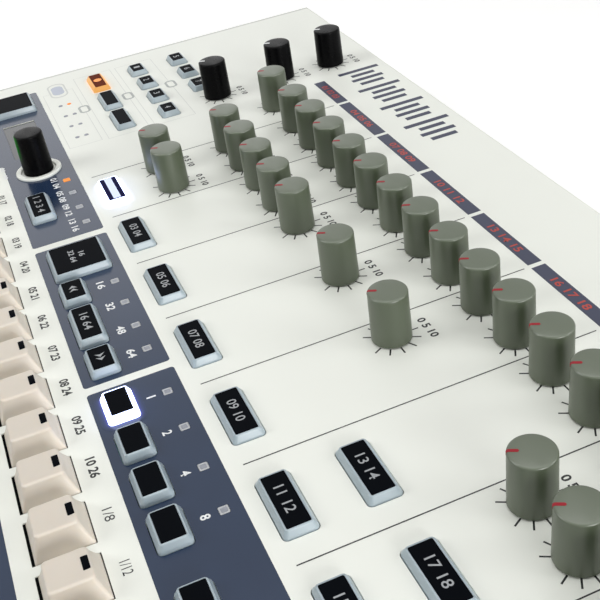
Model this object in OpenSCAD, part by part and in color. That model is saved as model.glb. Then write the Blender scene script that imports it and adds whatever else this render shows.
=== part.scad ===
// Sixteen-step drum machine: a wedge-shaped desktop case with rows of knobs,
// trigger buttons, step keys, lamps and rear sockets.
// Millimetres, +Z up, origin on the table under the middle of the case,
// front towards -Y. Panel places are x (as in the model) and v, the distance
// up the sloping panel from its front edge; h is the height above the panel.

/* [Case] */
// Width of the case, left to right
case_w = 498; // [496:1:520]
// Depth of the case, front to rear
case_d = 265; // [263:1:285]
// Height of the front edge of the panel above the table
front_h = 25; // [24.5:0.5:32]
// Slope of the control panel, in degrees
slope = 7; // [6:0.5:8]
// Wall of the moulded top cover
wall = 2.5; // [2:0.1:3]
// Wall of the cover behind the rear panel's window frame
rear_wall = 5; // [4:0.5:6]
// Radius along the top edges of the cover
edge_r = 3; // [1.5:0.5:4]
// Radius of the upright corners of the cover
corner_r = 6; // [3:0.5:8]
// Height of the rubber feet
foot_h = 4; // [3:0.5:6]
// Radius of a rubber foot
foot_r = 9; // [6:0.5:11]
// Distance of the feet from the sides of the case
foot_inset = 30; // [24:1:40]

/* [Bottom pan] */
// Thickness of the sheet steel bottom pan
pan_t = 1.5; // [1:0.1:2]
// Height of the pan's turned-up edges
pan_edge_h = 8; // [5:0.5:9]
// Gap between the pan's edges and the cover
pan_fit = 0.3; // [0.2:0.05:0.5]
// Width of a cooling slot in the pan
vent_w = 3; // [2:0.25:3.5]
// Length of a cooling slot in the pan
vent_l = 30; // [15:1:40]
// Spacing of the cooling slots
vent_pitch = 8; // [6:0.5:10]
// Radius of a cover screw
screw_r = 1.5; // [1.25:0.05:1.6]
// Radius of a cover screw's head
screw_head_r = 3; // [2.6:0.1:3.5]
// Height of a cover screw's head
screw_head_h = 2; // [1.4:0.1:2.4]
// Length of a cover screw under its head
screw_l = 10; // [8:0.5:14]
// Radius of the screw bosses inside the cover
boss_r = 4; // [3.5:0.1:4.5]
// Distance of the screw bosses from the sides of the case
boss_inset = 10; // [9:0.25:10.5]

/* [Panel layout] */
// Spacing of the knob columns
knob_pitch = 21; // [20:0.25:21.25]
// Left side of the case to the bass drum knob column
first_column = 152; // [150:0.5:154]
// Front edge to the middle of the step keys
key_row = 46.3; // [44:0.1:48]
// Front edge to the row of small buttons
button_row = 74.6; // [73.5:0.1:75.5]
// Front edge to the lamps of the small buttons
lamp_row = 90.4; // [89.5:0.1:91.5]
// Front edge to the row of trigger buttons
trigger_row = 106.5; // [104:0.5:109]
// Front edge to the third row of knobs
third_row = 131.5; // [128:0.5:134]
// Front edge to the middle row of knobs
middle_row = 164.9; // [160:0.5:168]
// Front edge to the rear row of knobs
rear_row = 198.5; // [194:0.5:202]

/* [Knobs] */
// Radius of a knob at its foot
knob_foot_r = 6.87; // [6.5:0.05:7.2]
// Radius of a knob at its top
knob_top_r = 6.68; // [6:0.05:7]
// Top of a knob above the panel
knob_h = 19; // [16:0.5:22]
// Radius of the rounded rim at a knob's top
knob_rim_r = 0.6; // [0.3:0.1:1]
// Gap between a knob and the panel
knob_gap = 0.6; // [0.4:0.1:1]
// Wall of a knob's hollow skirt
knob_wall = 1.3; // [1:0.1:1.6]
// Radius of the hub inside a knob
knob_hub_r = 4.2; // [3.9:0.1:4.5]
// Radius of a potentiometer spindle
spindle_r = 3; // [2.8:0.05:3.1]
// Depth of the flat on a spindle
spindle_flat = 1.5; // [1:0.1:1.8]
// Radial clearance of a spindle in its bore
spindle_fit = 0.06; // [0.03:0.01:0.1]
// Radius of the encoder knob at its foot
encoder_foot_r = 7; // [6.5:0.05:7.4]
// Radius of the encoder knob at its top
encoder_top_r = 6.55; // [6:0.05:6.9]
// Top of the encoder knob above the panel
encoder_h = 19.7; // [17:0.1:22]
// Outer radius of the raised ring round the encoder
ring_r = 10.65; // [10:0.05:11]
// Width of that ring
ring_w = 2.6; // [1.6:0.1:2.8]
// Height of that ring
ring_h = 1.1; // [0.6:0.1:1.5]

/* [Step keys] */
// Number of step keys
key_count = 16; // [16:1:16]
// Spacing of the step keys
key_pitch = 21.32; // [20.9:0.02:21.4]
// First step key's distance from the bass drum column
key_start = -14.3; // [-16:0.1:-14]
// Width of the slot that a key moves in
key_slot_w = 17.6; // [17:0.1:18]
// Length of that slot, front to rear
key_slot_l = 18.4; // [17.6:0.1:19]
// Gap at each side of a key in its slot
key_side_gap = 0.3; // [0.25:0.05:0.4]
// Gap between the front of a key and its slot
key_front_gap = 0.9; // [0.6:0.1:1.2]
// Gap between the rear of a key and its slot
key_rear_gap = 0.35; // [0.3:0.05:0.8]
// Width of a key's top face
key_top_w = 12.1; // [11:0.1:13]
// Setback of a key's top face at the front
key_front_slant = 2; // [1:0.1:2.4]
// Setback of a key's top face at the rear
key_rear_slant = 2.4; // [1.5:0.1:3]
// Height of a key's top above the panel
key_h = 7.4; // [6.6:0.1:8.5]
// Wall of a key's hollow cap
key_wall = 1.5; // [1.2:0.1:1.8]
// Width of the lamp window in a key
key_window_w = 5; // [4:0.1:6]
// Length of the lamp window in a key
key_window_l = 2; // [1.5:0.1:2.5]
// Lamp window to the rear edge of the key's top
key_window_inset = 0.6; // [0.5:0.1:1.4]
// How far a key travels
key_travel = 2; // [1.5:0.1:2.4]
// Side of a key's square stem
key_stem = 4; // [3.6:0.1:4.6]
// Side of a key switch
key_switch = 14; // [12:0.1:14.4]
// Clearance round a stem in its switch
stem_fit = 0.1; // [0.06:0.01:0.15]

/* [Buttons] */
// Height of a button above the panel
button_h = 2.5; // [2:0.1:3.2]
// Height of a button in the dark fields above the panel
field_button_h = 3; // [2:0.1:3.2]
// Black legend plate to the edge of its button
button_rim = 1.7; // [1.5:0.1:2.1]
// Black legend plate to the edge of a small or square button, side to side
small_rim_x = 1.4; // [1.2:0.1:1.9]
// Black legend plate to the edge of a small or square button, front to rear
small_rim_v = 1.6; // [1.4:0.1:2.1]
// Flat rim between a legend plate and the bevel round it
button_flat = 0.6; // [0.4:0.1:0.9]
// Corner radius of a button
button_corner = 1.5; // [0.8:0.1:1.8]
// Gap round a button in the panel
button_gap = 0.3; // [0.2:0.05:0.4]
// Lip under the panel that keeps a button in
button_lip = 0.8; // [0.6:0.05:0.9]
// Thickness of that lip
button_lip_t = 1; // [0.8:0.1:1.4]
// Thickness of a legend plate
plate_t = 1; // [0.7:0.1:1.4]
// How far a legend plate stands out of its button
plate_proud = 0.15; // [0.05:0.05:0.3]
// Clearance round a legend plate
plate_fit = 0.05; // [0.03:0.01:0.08]
// How far a button travels
button_travel = 0.8; // [0.5:0.1:1.2]
// Radius of a button's stem
button_stem_r = 1.6; // [1.3:0.1:1.9]
// Side of a button switch
button_switch = 6; // [5:0.5:7]
// Width of a trigger button's plate
trigger_plate_w = 21; // [19:0.1:22]
// Length of a trigger button's plate
trigger_plate_l = 7.2; // [6:0.1:8]
// Width of a small button's plate
small_plate_w = 12.1; // [10:0.1:13]
// Length of a small button's plate
small_plate_l = 7.2; // [6:0.1:8]
// Width of a mode button's plate
mode_plate_w = 20.4; // [18:0.1:20.8]
// Width of the large square button's plate
scroll_plate_w = 20.4; // [19:0.1:21.4]
// Length of the large square button's plate
scroll_plate_l = 19.4; // [17:0.1:20]
// Width of a mode group button's plate at the upper left
group_plate_w = 18.5; // [17:0.1:20]
// Length of a plate at the upper left
group_plate_l = 6; // [5:0.1:7]
// Width of a narrow button's plate at the upper left
narrow_plate_w = 10; // [9:0.1:12]

/* [Lamps and display] */
// Side of a lamp window
lamp = 3; // [2.4:0.1:3.4]
// Radius of a small round lamp
dot_r = 1.1; // [0.8:0.1:1.4]
// Clearance round a lamp or the display window
lamp_fit = 0.1; // [0.05:0.01:0.15]
// Width of the display window
display_w = 42; // [38:0.5:44]
// Length of the display window
display_l = 16; // [14:0.5:16.5]
// How far the display window lies below the panel
display_sink = 0.4; // [0.2:0.1:0.6]
// Thickness of the display window
display_t = 2; // [1.5:0.1:2.5]

/* [Inside] */
// Top of the control board below the panel
board_drop = 14; // [13.5:0.1:14.5]
// Thickness of the circuit boards
board_t = 1.6; // [1.2:0.1:2]
// Top of the key and button switches below the panel
switch_drop = 7; // [6.8:0.1:7.4]
// Side of a potentiometer's case
pot_w = 11; // [9.5:0.5:13]
// Top of a potentiometer's case below the panel
pot_drop = 7.5; // [7:0.1:8.5]
// Radius of a potentiometer's threaded bush
bush_r = 3.6; // [3.5:0.05:3.8]
// Radius of the panel hole under a knob
shaft_hole_r = 4; // [3.9:0.1:4.4]
// Radius of a post that carries the control board
post_r = 3; // [2.5:0.1:3.5]

/* [Rear sockets] */
// Thickness of the steel rear panel
plate_rear_t = 1.5; // [1:0.1:2]
// Upper edge of the window in the rear of the cover, below the panel's edge
rear_window_drop = 7.5; // [7.5:0.5:9]
// Lower edge of that window above the table
rear_window_z = 17; // [16.5:0.5:19]
// Distance of that window's ends from the sides of the case
rear_window_inset = 34; // [30:1:40]
// Overlap of the rear panel behind the window's frame
rear_lap = 3; // [2:0.5:3.5]
// Height of the sockets' circuit board above the table
socket_board_z = 27.5; // [26.5:0.5:28]
// Bore radius of a jack socket
jack_r = 3.2; // [3.15:0.01:3.3]
// Spacing of the jack sockets
jack_pitch = 23; // [20:0.5:23.5]
// Side of a jack socket's body
jack_body = 15; // [13:0.5:16]
// Length of a jack socket's body
jack_l = 26; // [22:0.5:27]
// Radius of a jack socket's threaded bush
jack_bush_r = 4.6; // [4.3:0.1:4.8]
// Radius of a jack socket's nut, across its corners
jack_nut_r = 7; // [6:0.1:8]
// Spacing of the round data sockets
din_pitch = 24; // [22:0.5:25]
// Radius of a round data socket's shell
din_r = 8; // [7.5:0.1:8.4]
// Clearance round a socket in the rear panel
socket_fit = 0.15; // [0.1:0.05:0.3]

/* [Hidden] */
$fn = 48;
past = 1;                         // how far a cutter runs past a face
pan_top = foot_h + pan_t;
rear_h = front_h + case_d * tan(slope);
panel_l = case_d / cos(slope);
column_0 = first_column - case_w / 2;
function column(n) = column_0 + knob_pitch * n;
function key_x(n) = column_0 + key_start + key_pitch * (n - 1);

// Knob columns of each row, counted from the bass drum column
rear_columns = [-1.32, for (n = [0:11]) n];
middle_columns = [0, 1, 2, 3, 4, 6, 8];
third_columns = [0, 1];
hat_columns = [12, 13];
far_rear_columns = [12, 13, 14, 15];
far_middle_columns = [14, 15];
// Three black knobs at the upper left: distance from the rear row, in columns
master_column = -2.85;
master_rows = [-0.95, 0.72, 2.05];
encoder_column = -1.6;
encoder_row = button_row + 0.29 * knob_pitch;

// Trigger buttons: column and row
triggers = [for (n = [0.5, 2.5, 4.5, 6.5, 8.5, 10.5]) [n, trigger_row], [10.5, third_row]];
far_triggers = [[12.5, trigger_row], [12.5, third_row], [14.5, trigger_row], [14.5, third_row]];
select_step = 0.928;
select_columns = [for (i = [0:3]) 7.39 + select_step * i];
far_select_columns = [for (i = [0:3]) 11.55 + select_step * i];
mode_column = 0.3;
scroll_column = 2.78;
back_column = 3.9;
length_column = 5.03;
forward_column = 6.15;
pattern_column = -5.58;
big_row = button_row + 0.3 * knob_pitch;
group_columns = [-5.62, -4.3, -2.98];
group_row = third_row - 0.15 * knob_pitch;
narrow_row = group_row + 1.1 * knob_pitch;
upper_row = narrow_row + 1.09 * knob_pitch;
narrow_places = [for (n = [-5.78, -4.77, -3.76, -2.75]) [n, narrow_row],
                 for (n = [-5.78, -4.77, -3.76]) [n, upper_row]];
display_column = -3.5;
display_row = button_row + 0.27 * knob_pitch;
transport_columns = [-5.2, -3.5];

lamp_columns = [-0.74, -0.08, 0.64, 1.33, 3.84, 4.61, 5.40, 6.14, 7.39, 8.31, 9.25, 10.17];
dot_columns = [-4.9, -4.19, -3.5, -2.78];
dot_rows = [trigger_row - 2.3, trigger_row + 2.3];

// Cover screws and board posts
boss_x = case_w / 2 - boss_inset;
bosses = [[-boss_x, -case_d / 2 + 16], [0, -case_d / 2 + 12], [boss_x, -case_d / 2 + 16],
          [-boss_x, 0], [boss_x, 0], [-boss_x, case_d / 2 - 20], [boss_x, case_d / 2 - 20]];
post_columns = [-6.2, 1.9, 5.5, 9.5, 15.6];
post_rows = [trigger_row + 12.5, rear_row - 12.8];
board_front = key_row - 20;
board_l = rear_row + 25 - board_front;
board_w = case_w - 2 * (boss_inset + boss_r + 2);

// Rear sockets, side to side
rear_plate_y = case_d / 2 - rear_wall - plate_rear_t;
rear_window_h = rear_h - rear_window_drop - rear_window_z;
jack_bore_l = jack_l + plate_rear_t;
jacks = [for (i = [0:7]) -30 + jack_pitch * i, for (i = [0:1]) 158 + jack_pitch * i];
dins = [for (i = [0:2]) -60 - din_pitch * i];
usb_x = -134;
power_x = -160;
rocker_x = -190;
jack_z = socket_board_z + jack_body / 2;
din_body = 2 * din_r + 2;
din_z = socket_board_z + din_body / 2;
usb_w = 12;
usb_h = 11;
usb_open_w = 8.5;
usb_open_h = 7.8;
usb_tongue_w = 5.7;
usb_tongue_h = 3.2;
usb_z = socket_board_z + usb_h / 2;
power_body = 11;
power_open_r = 2.9;
power_pin_r = 1;
power_z = socket_board_z + power_body / 2;
rocker_w = 12;
rocker_h = 19;
rocker_z = rear_window_z + rear_window_h / 2;
socket_board_x0 = power_x - power_body;
socket_board_x1 = max(jacks) + jack_body;

// Materials' colours
ivory = "#dad2c6";
shell_white = "#e6e8e2";
olive = "#6f7468";
button_blue = "#acbec8";
gloss_black = "#14161c";
board_green = "#1f5a3c";
steel = "#8d9093";
rubber_black = "#232324";
lamp_grey = "#b2b6ba";

// ---- places ---------------------------------------------------------------

// Puts its children on the sloping panel
module on_panel(x = 0, v = 0, h = 0)
    translate([0, -case_d / 2, front_h]) rotate([slope, 0, 0]) translate([x, v, h]) children();

// Puts its children at a socket in the rear panel, with +Z pointing out
module at_rear(x, z)
    translate([x, rear_plate_y, z]) rotate([-90, 0, 0]) children();

module rounded_plate(w, l, r) {
    square([w - 2 * r, l], center = true);
    square([w, l - 2 * r], center = true);
    for (sx = [-1, 1], sy = [-1, 1])
        translate([sx * (w / 2 - r), sy * (l / 2 - r)]) circle(r);
}

// ---- the case -------------------------------------------------------------

// Side view of the case, with rounded top edges at the front and the rear
module side_outline() {
    drop = edge_r / cos(slope);
    front_z = front_h + edge_r * tan(slope) - drop;
    rear_z = rear_h - edge_r * tan(slope) - drop;
    reach = [-edge_r * sin(slope), edge_r * cos(slope)];
    polygon([[-case_d / 2, foot_h], [-case_d / 2, front_z],
             [-case_d / 2 + edge_r, front_z] + reach, [case_d / 2 - edge_r, rear_z] + reach,
             [case_d / 2, rear_z], [case_d / 2, foot_h]]);
    translate([-case_d / 2 + edge_r, front_z]) circle(edge_r);
    translate([case_d / 2 - edge_r, rear_z]) circle(edge_r);
}

// Extrudes a side view (front to rear, up) from left to right
module across(width) translate([-width / 2, 0, 0]) rotate([90, 0, 90]) linear_extrude(width) children();

// What a rounded edge takes off a corner, along +Z, corner at the origin
module edge_cutter(r, length) {
    difference() {
        translate([-past, -past, 0]) cube([r + past, r + past, length]);
        translate([r, r, -past]) cylinder(r = r, h = length + 2 * past);
    }
}

module case_form() {
    difference() {
        across(case_w) side_outline();
        for (side = [0, 1]) mirror([side, 0, 0]) {
            on_panel(-case_w / 2, -2 * edge_r, 0)
                rotate([-90, 0, 0]) edge_cutter(edge_r, panel_l + 4 * edge_r);
            for (end = [0, 1]) mirror([0, end, 0])
                translate([-case_w / 2, -case_d / 2, 0]) edge_cutter(corner_r, rear_h + past);
        }
    }
}

module case_hollow() {
    under = wall / cos(slope);
    across(case_w - 2 * wall)
        polygon([[-case_d / 2 + wall, -past],
                 [-case_d / 2 + wall, front_h + wall * tan(slope) - under],
                 [case_d / 2 - rear_wall, rear_h - rear_wall * tan(slope) - under],
                 [case_d / 2 - rear_wall, -past]]);
}

// Everything that passes through the panel, as seen from above it
module panel_holes() {
    for (n = rear_columns) translate([column(n), rear_row]) circle(shaft_hole_r);
    for (n = far_rear_columns) translate([column(n), rear_row]) circle(shaft_hole_r);
    for (n = concat(middle_columns, hat_columns, far_middle_columns))
        translate([column(n), middle_row]) circle(shaft_hole_r);
    for (n = third_columns) translate([column(n), third_row]) circle(shaft_hole_r);
    for (m = master_rows) translate([column(master_column), rear_row + m * knob_pitch]) circle(shaft_hole_r);
    translate([column(encoder_column), encoder_row]) circle(shaft_hole_r);
    for (x = concat([for (n = [1:key_count]) key_x(n)], [for (n = transport_columns) column(n)]))
        translate([x, key_row]) square([key_slot_w, key_slot_l], center = true);
    for (t = concat(triggers, far_triggers))
        translate([column(t[0]), t[1]]) button_hole(trigger_plate_w, trigger_plate_l);
    for (n = concat(select_columns, far_select_columns, [back_column, forward_column]))
        translate([column(n), button_row]) button_hole(small_plate_w, small_plate_l, small_rim_x, small_rim_v);
    for (n = [mode_column, length_column])
        translate([column(n), button_row]) button_hole(mode_plate_w, trigger_plate_l);
    for (n = [pattern_column, scroll_column])
        translate([column(n), big_row]) button_hole(scroll_plate_w, scroll_plate_l, small_rim_x, small_rim_v);
    for (n = group_columns) translate([column(n), group_row]) button_hole(group_plate_w, group_plate_l);
    for (p = narrow_places) translate([column(p[0]), p[1]]) button_hole(narrow_plate_w, group_plate_l);
    for (n = lamp_columns) translate([column(n), lamp_row]) square(lamp + 2 * lamp_fit, center = true);
    for (n = dot_columns, row = dot_rows) translate([column(n), row]) circle(dot_r + lamp_fit);
    translate([column(display_column), display_row])
        square([display_w, display_l] + 2 * [lamp_fit, lamp_fit], center = true);
}

module button_hole(w, l, rim_x = button_rim, rim_v = button_rim)
    rounded_plate(w + 2 * (rim_x + button_gap), l + 2 * (rim_v + button_gap), button_corner + button_gap);

// Stiffening frame round the step key slots, under the panel
module key_frame() {
    frame_wall = 1.6;
    frame_depth = 3;
    length = key_pitch * (key_count - 1) + key_slot_w;
    on_panel((key_x(1) + key_x(key_count)) / 2, key_row, -wall - frame_depth)
        linear_extrude(frame_depth + wall / 2)
            square([length + 2 * frame_wall, key_slot_l + 2 * frame_wall], center = true);
}

module top_cover() color(shell_white) {
    difference() {
        union() {
            difference() {
                case_form();
                difference() {
                    case_hollow();
                    for (b = bosses) translate([b[0], b[1], pan_top]) cylinder(r = boss_r, h = rear_h);
                    for (n = post_columns, row = post_rows)
                        on_panel(column(n), row, -board_drop) cylinder(r = post_r, h = board_drop);
                    key_frame();
                }
            }
            on_panel(column(encoder_column), encoder_row, -wall / 2) encoder_ring();
        }
        on_panel(0, 0, -wall - 2 * past - 2) linear_extrude(wall + 4 * past + 4) panel_holes();
        for (b = bosses) translate([b[0], b[1], 0]) cylinder(r = screw_r + spindle_fit, h = pan_top + screw_l);
        translate([0, case_d / 2, rear_window_z + rear_window_h / 2])
            cube([case_w - 2 * rear_window_inset, 3 * rear_wall, rear_window_h], center = true);
    }
}

// Raised ring round the encoder, with a rounded top
module encoder_ring() {
    rotate_extrude() {
        translate([ring_r - ring_w, 0]) square([ring_w, wall / 2 + ring_h - ring_w / 4]);
        translate([ring_r - ring_w + ring_w / 4, wall / 2 + ring_h - ring_w / 4])
            square([ring_w / 2, ring_w / 4]);
        for (r = [ring_r - ring_w * 3 / 4, ring_r - ring_w / 4])
            translate([r, wall / 2 + ring_h - ring_w / 4]) circle(ring_w / 4);
    }
}

module bottom_pan() color(steel) {
    w = case_w - 2 * (wall + pan_fit);
    front = -case_d / 2 + wall + pan_fit;
    rear = case_d / 2 - rear_wall - pan_fit;
    d = rear - front;
    difference() {
        translate([-w / 2, front, foot_h]) cube([w, d, pan_edge_h]);
        translate([-w / 2 + pan_t, front + pan_t, pan_top]) cube([w - 2 * pan_t, d - 2 * pan_t, pan_edge_h]);
        for (b = bosses) translate([b[0], b[1], 0]) cylinder(r = screw_r + 0.2, h = pan_top + past);
        for (side = [-1, 1], i = [-6:6])
            translate([side * case_w / 4 + i * vent_pitch, case_d / 8, foot_h - past])
                linear_extrude(pan_t + 2 * past) rounded_plate(vent_w, vent_l, vent_w / 2 - 0.01);
    }
    for (i = [0:4]) socket_post(socket_board_x0 + 8 + (socket_board_x1 - socket_board_x0 - 16) * i / 4);
}

// Pillar from the pan up to the sockets' circuit board
module socket_post(x) {
    post_y = rear_plate_y - 20;
    translate([x, post_y, pan_top]) cylinder(r = post_r, h = socket_board_z - board_t - pan_top);
}

module feet() color(rubber_black)
    for (sx = [-1, 1], sy = [-1, 1])
        translate([sx * (case_w / 2 - foot_inset), sy * (case_d / 2 - foot_inset), 0])
            rotate_extrude()
                polygon([[0, 0], [foot_r - 1.5, 0], [foot_r - 0.5, 0.8], [foot_r, foot_h], [0, foot_h]]);

module case_screws() color(steel)
    for (b = bosses) translate([b[0], b[1], foot_h]) {
        cylinder(r = screw_r, h = screw_l);
        difference() {
            translate([0, 0, -screw_head_h]) cylinder(r = screw_head_r, h = screw_head_h);
            for (a = [0, 90]) rotate([0, 0, a])
                translate([0, 0, -screw_head_h]) cube([screw_head_r * 1.1, 0.7, screw_head_h], center = true);
        }
    }

// ---- the inside -----------------------------------------------------------

module circuit_boards() color(board_green) {
    on_panel(-board_w / 2, board_front, -board_drop - board_t) cube([board_w, board_l, board_t]);
    translate([socket_board_x0, rear_plate_y - jack_l - 4, socket_board_z - board_t])
        cube([socket_board_x1 - socket_board_x0, jack_l + 3, board_t]);
}

module pot(x, v) on_panel(x, v, -board_drop) {
    difference() {
        union() {
            translate([-pot_w / 2, -pot_w / 2, 0]) cube([pot_w, pot_w, board_drop - pot_drop]);
            cylinder(r = bush_r, h = board_drop - wall - 0.6);
        }
        translate([0, 0, 1]) cylinder(r = spindle_r + spindle_fit, h = board_drop);
    }
}

module key_switch_body(x, v) on_panel(x, v, -board_drop) {
    difference() {
        translate([-key_switch / 2, -key_switch / 2, 0])
            cube([key_switch, key_switch, board_drop - switch_drop]);
        translate([-key_stem / 2 - stem_fit, -key_stem / 2 - stem_fit, 1])
            cube([key_stem + 2 * stem_fit, key_stem + 2 * stem_fit, board_drop]);
    }
}

module button_switch_body(x, v) on_panel(x, v, -board_drop) {
    difference() {
        translate([-button_switch / 2, -button_switch / 2, 0])
            cube([button_switch, button_switch, board_drop - switch_drop]);
        translate([0, 0, 1]) cylinder(r = button_stem_r + stem_fit, h = board_drop);
    }
}

module pots_and_switches() {
    color(steel) {
        for (n = concat(rear_columns, far_rear_columns)) pot(column(n), rear_row);
        for (n = concat(middle_columns, hat_columns, far_middle_columns)) pot(column(n), middle_row);
        for (n = third_columns) pot(column(n), third_row);
        for (m = master_rows) pot(column(master_column), rear_row + m * knob_pitch);
        pot(column(encoder_column), encoder_row);
    }
    color(gloss_black) {
        for (n = [1:key_count]) key_switch_body(key_x(n), key_row);
        for (n = transport_columns) key_switch_body(column(n), key_row);
        for (t = concat(triggers, far_triggers)) button_switch_body(column(t[0]), t[1]);
        for (n = concat(select_columns, far_select_columns,
                        [back_column, forward_column, mode_column, length_column]))
            button_switch_body(column(n), button_row);
        for (n = [pattern_column, scroll_column]) button_switch_body(column(n), big_row);
        for (n = group_columns) button_switch_body(column(n), group_row);
        for (p = narrow_places) button_switch_body(column(p[0]), p[1]);
        on_panel(column(display_column), display_row, -board_drop)
            linear_extrude(board_drop - display_sink - display_t)
                square([display_w - 4, display_l - 4], center = true);
    }
}

module indicator_lenses() {
    color(lamp_grey) {
        for (n = lamp_columns) on_panel(column(n), lamp_row, -board_drop)
            linear_extrude(board_drop) square(lamp, center = true);
        for (n = dot_columns, row = dot_rows) on_panel(column(n), row, -board_drop)
            cylinder(r = dot_r, h = board_drop);
    }
    color(gloss_black) on_panel(column(display_column), display_row, -display_sink - display_t)
        linear_extrude(display_t) square([display_w, display_l], center = true);
}

// ---- the rear -------------------------------------------------------------

module rear_panel() color(gloss_black) {
    w = case_w - 2 * rear_window_inset + 2 * rear_lap;
    h = rear_window_h + 2 * rear_lap;
    difference() {
        translate([-w / 2, rear_plate_y, rear_window_z - rear_lap]) cube([w, plate_rear_t, h]);
        for (x = jacks) at_rear(x, jack_z) translate([0, 0, -past])
            cylinder(r = jack_bush_r + socket_fit, h = plate_rear_t + 2 * past);
        for (x = dins) at_rear(x, din_z) translate([0, 0, -past])
            cylinder(r = din_r + socket_fit, h = plate_rear_t + 2 * past);
        translate([usb_x, rear_plate_y, usb_z])
            cube([usb_w + 2 * socket_fit, 3 * plate_rear_t, usb_h + 2 * socket_fit], center = true);
        at_rear(power_x, power_z) translate([0, 0, -past])
            cylinder(r = power_body / 2 + socket_fit, h = plate_rear_t + 2 * past);
        translate([rocker_x, rear_plate_y, rocker_z])
            cube([rocker_w + 2 * socket_fit, 4 * plate_rear_t, rocker_h + 2 * socket_fit], center = true);
    }
}

module jack_socket(x) at_rear(x, jack_z) {
    nut_t = 2;
    difference() {
        union() {
            translate([-jack_body / 2, -jack_body / 2, -jack_l]) cube([jack_body, jack_body, jack_l]);
            cylinder(r = jack_bush_r, h = plate_rear_t + nut_t + 1);
            translate([0, 0, plate_rear_t]) cylinder(r = jack_nut_r, h = nut_t, $fn = 6);
        }
        translate([0, 0, 2 - jack_l]) cylinder(r = jack_r, h = jack_l + 10);
    }
}

// Round five-pin data socket: a shell, a core and the ring between them
module din_socket(x) at_rear(x, din_z) {
    shell_t = 1.1;
    core_r = din_r - 2.8;
    depth = 9;
    difference() {
        union() {
            translate([-din_body / 2, -din_body / 2, -jack_l / 2]) cube([din_body, din_body, jack_l / 2]);
            cylinder(r = din_r, h = plate_rear_t + 1.5);
        }
        translate([0, 0, plate_rear_t + 1.5 - depth]) rotate_extrude()
            translate([core_r, 0]) square([din_r - shell_t - core_r, depth + past]);
        for (a = [0, 45, 90, 135, 180]) rotate([0, 0, a])
            translate([core_r * 0.64, 0, plate_rear_t + 1.5 - depth]) cylinder(r = 0.8, h = depth + past);
    }
}

module rear_sockets() {
    color(rubber_black) {
        for (x = jacks) jack_socket(x);
        for (x = dins) din_socket(x);
    }
    color(steel) translate([usb_x, rear_plate_y - 14, usb_z]) {
        difference() {
            translate([-usb_w / 2, 0, -usb_h / 2]) cube([usb_w, 14 + plate_rear_t + 0.5, usb_h]);
            translate([-usb_open_w / 2, 4, -usb_open_h / 2]) cube([usb_open_w, 20, usb_open_h]);
        }
        translate([-usb_tongue_w / 2, 4, -usb_tongue_h / 2]) cube([usb_tongue_w, 9, usb_tongue_h]);
    }
    color(rubber_black) at_rear(power_x, power_z) {
        difference() {
            union() {
                translate([-power_body / 2, -power_body / 2, -14]) cube([power_body, power_body, 14]);
                cylinder(r = power_body / 2, h = plate_rear_t + 1);
            }
            translate([0, 0, -9]) cylinder(r = power_open_r, h = 20);
        }
        translate([0, 0, -9]) cylinder(r = power_pin_r, h = 9);
    }
    color(gloss_black) translate([rocker_x, rear_plate_y, rocker_z]) {
        translate([-rocker_w / 2, -14, -rocker_h / 2]) cube([rocker_w, 14 + plate_rear_t, rocker_h]);
        translate([-rocker_w / 2 - 1, plate_rear_t, -rocker_h / 2 - 1]) cube([rocker_w + 2, 1.2, rocker_h + 2]);
        translate([0, plate_rear_t + 1.2, 0]) across(rocker_w - 2)
            polygon([[0, -rocker_h / 2 + 1], [0.3, -rocker_h / 2 + 1], [0.3, 0],
                     [2, rocker_h / 2 - 1], [0, rocker_h / 2 - 1]]);
    }
}

// ---- knobs ----------------------------------------------------------------

// Half section of a hollow knob: skirt, hub and rounded rim
module knob_section(foot, top, height) {
    rim = height - knob_rim_r;
    taper = (foot - top) / (height - knob_gap);
    roof = 2;
    difference() {
        union() {
            polygon([[0, knob_gap], [foot, knob_gap], [foot - taper * (rim - knob_gap), rim], [0, rim]]);
            square([top - knob_rim_r, height]);
            translate([top - knob_rim_r, rim]) circle(knob_rim_r, $fn = 32);
        }
        translate([knob_hub_r, 0]) square([top - knob_wall - knob_hub_r, height - roof]);
        square([foot + past, knob_gap]);
    }
}

module knob_cap(foot, top, height) {
    difference() {
        rotate_extrude() knob_section(foot, top, height);
        translate([0, 0, -past]) spindle_form(spindle_r + spindle_fit, height - 3 + past);
    }
}

// D-shaped rod: a round spindle with one flat
module spindle_form(r, length) {
    difference() {
        cylinder(r = r, h = length);
        translate([spindle_r - spindle_flat + r - spindle_r, -r - past, -past])
            cube([2 * r, 2 * (r + past), length + 2 * past]);
    }
}

module knob_spindle(height) {
    base = board_drop - 1.5;
    spindle_top = height - 3.2;
    difference() {
        translate([0, 0, -base]) cylinder(r = spindle_r, h = base + spindle_top);
        translate([spindle_r - spindle_flat, -spindle_r - past, 0])
            cube([2 * spindle_r, 2 * (spindle_r + past), spindle_top + past]);
    }
}

module knob(x, v) on_panel(x, v) {
    color(olive) knob_cap(knob_foot_r, knob_top_r, knob_h);
    color(steel) knob_spindle(knob_h);
}

module data_encoder() on_panel(column(encoder_column), encoder_row) {
    color(gloss_black) knob_cap(encoder_foot_r, encoder_top_r, encoder_h);
    color(steel) knob_spindle(encoder_h);
}

module far_knobs() {
    for (n = far_rear_columns) knob(column(n), rear_row);
    for (n = far_middle_columns) knob(column(n), middle_row);
    for (m = master_rows) on_panel(column(master_column), rear_row + m * knob_pitch) {
        color(gloss_black) knob_cap(knob_foot_r, knob_top_r, knob_h);
        color(steel) knob_spindle(knob_h);
    }
}

// ---- step keys ------------------------------------------------------------

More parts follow.
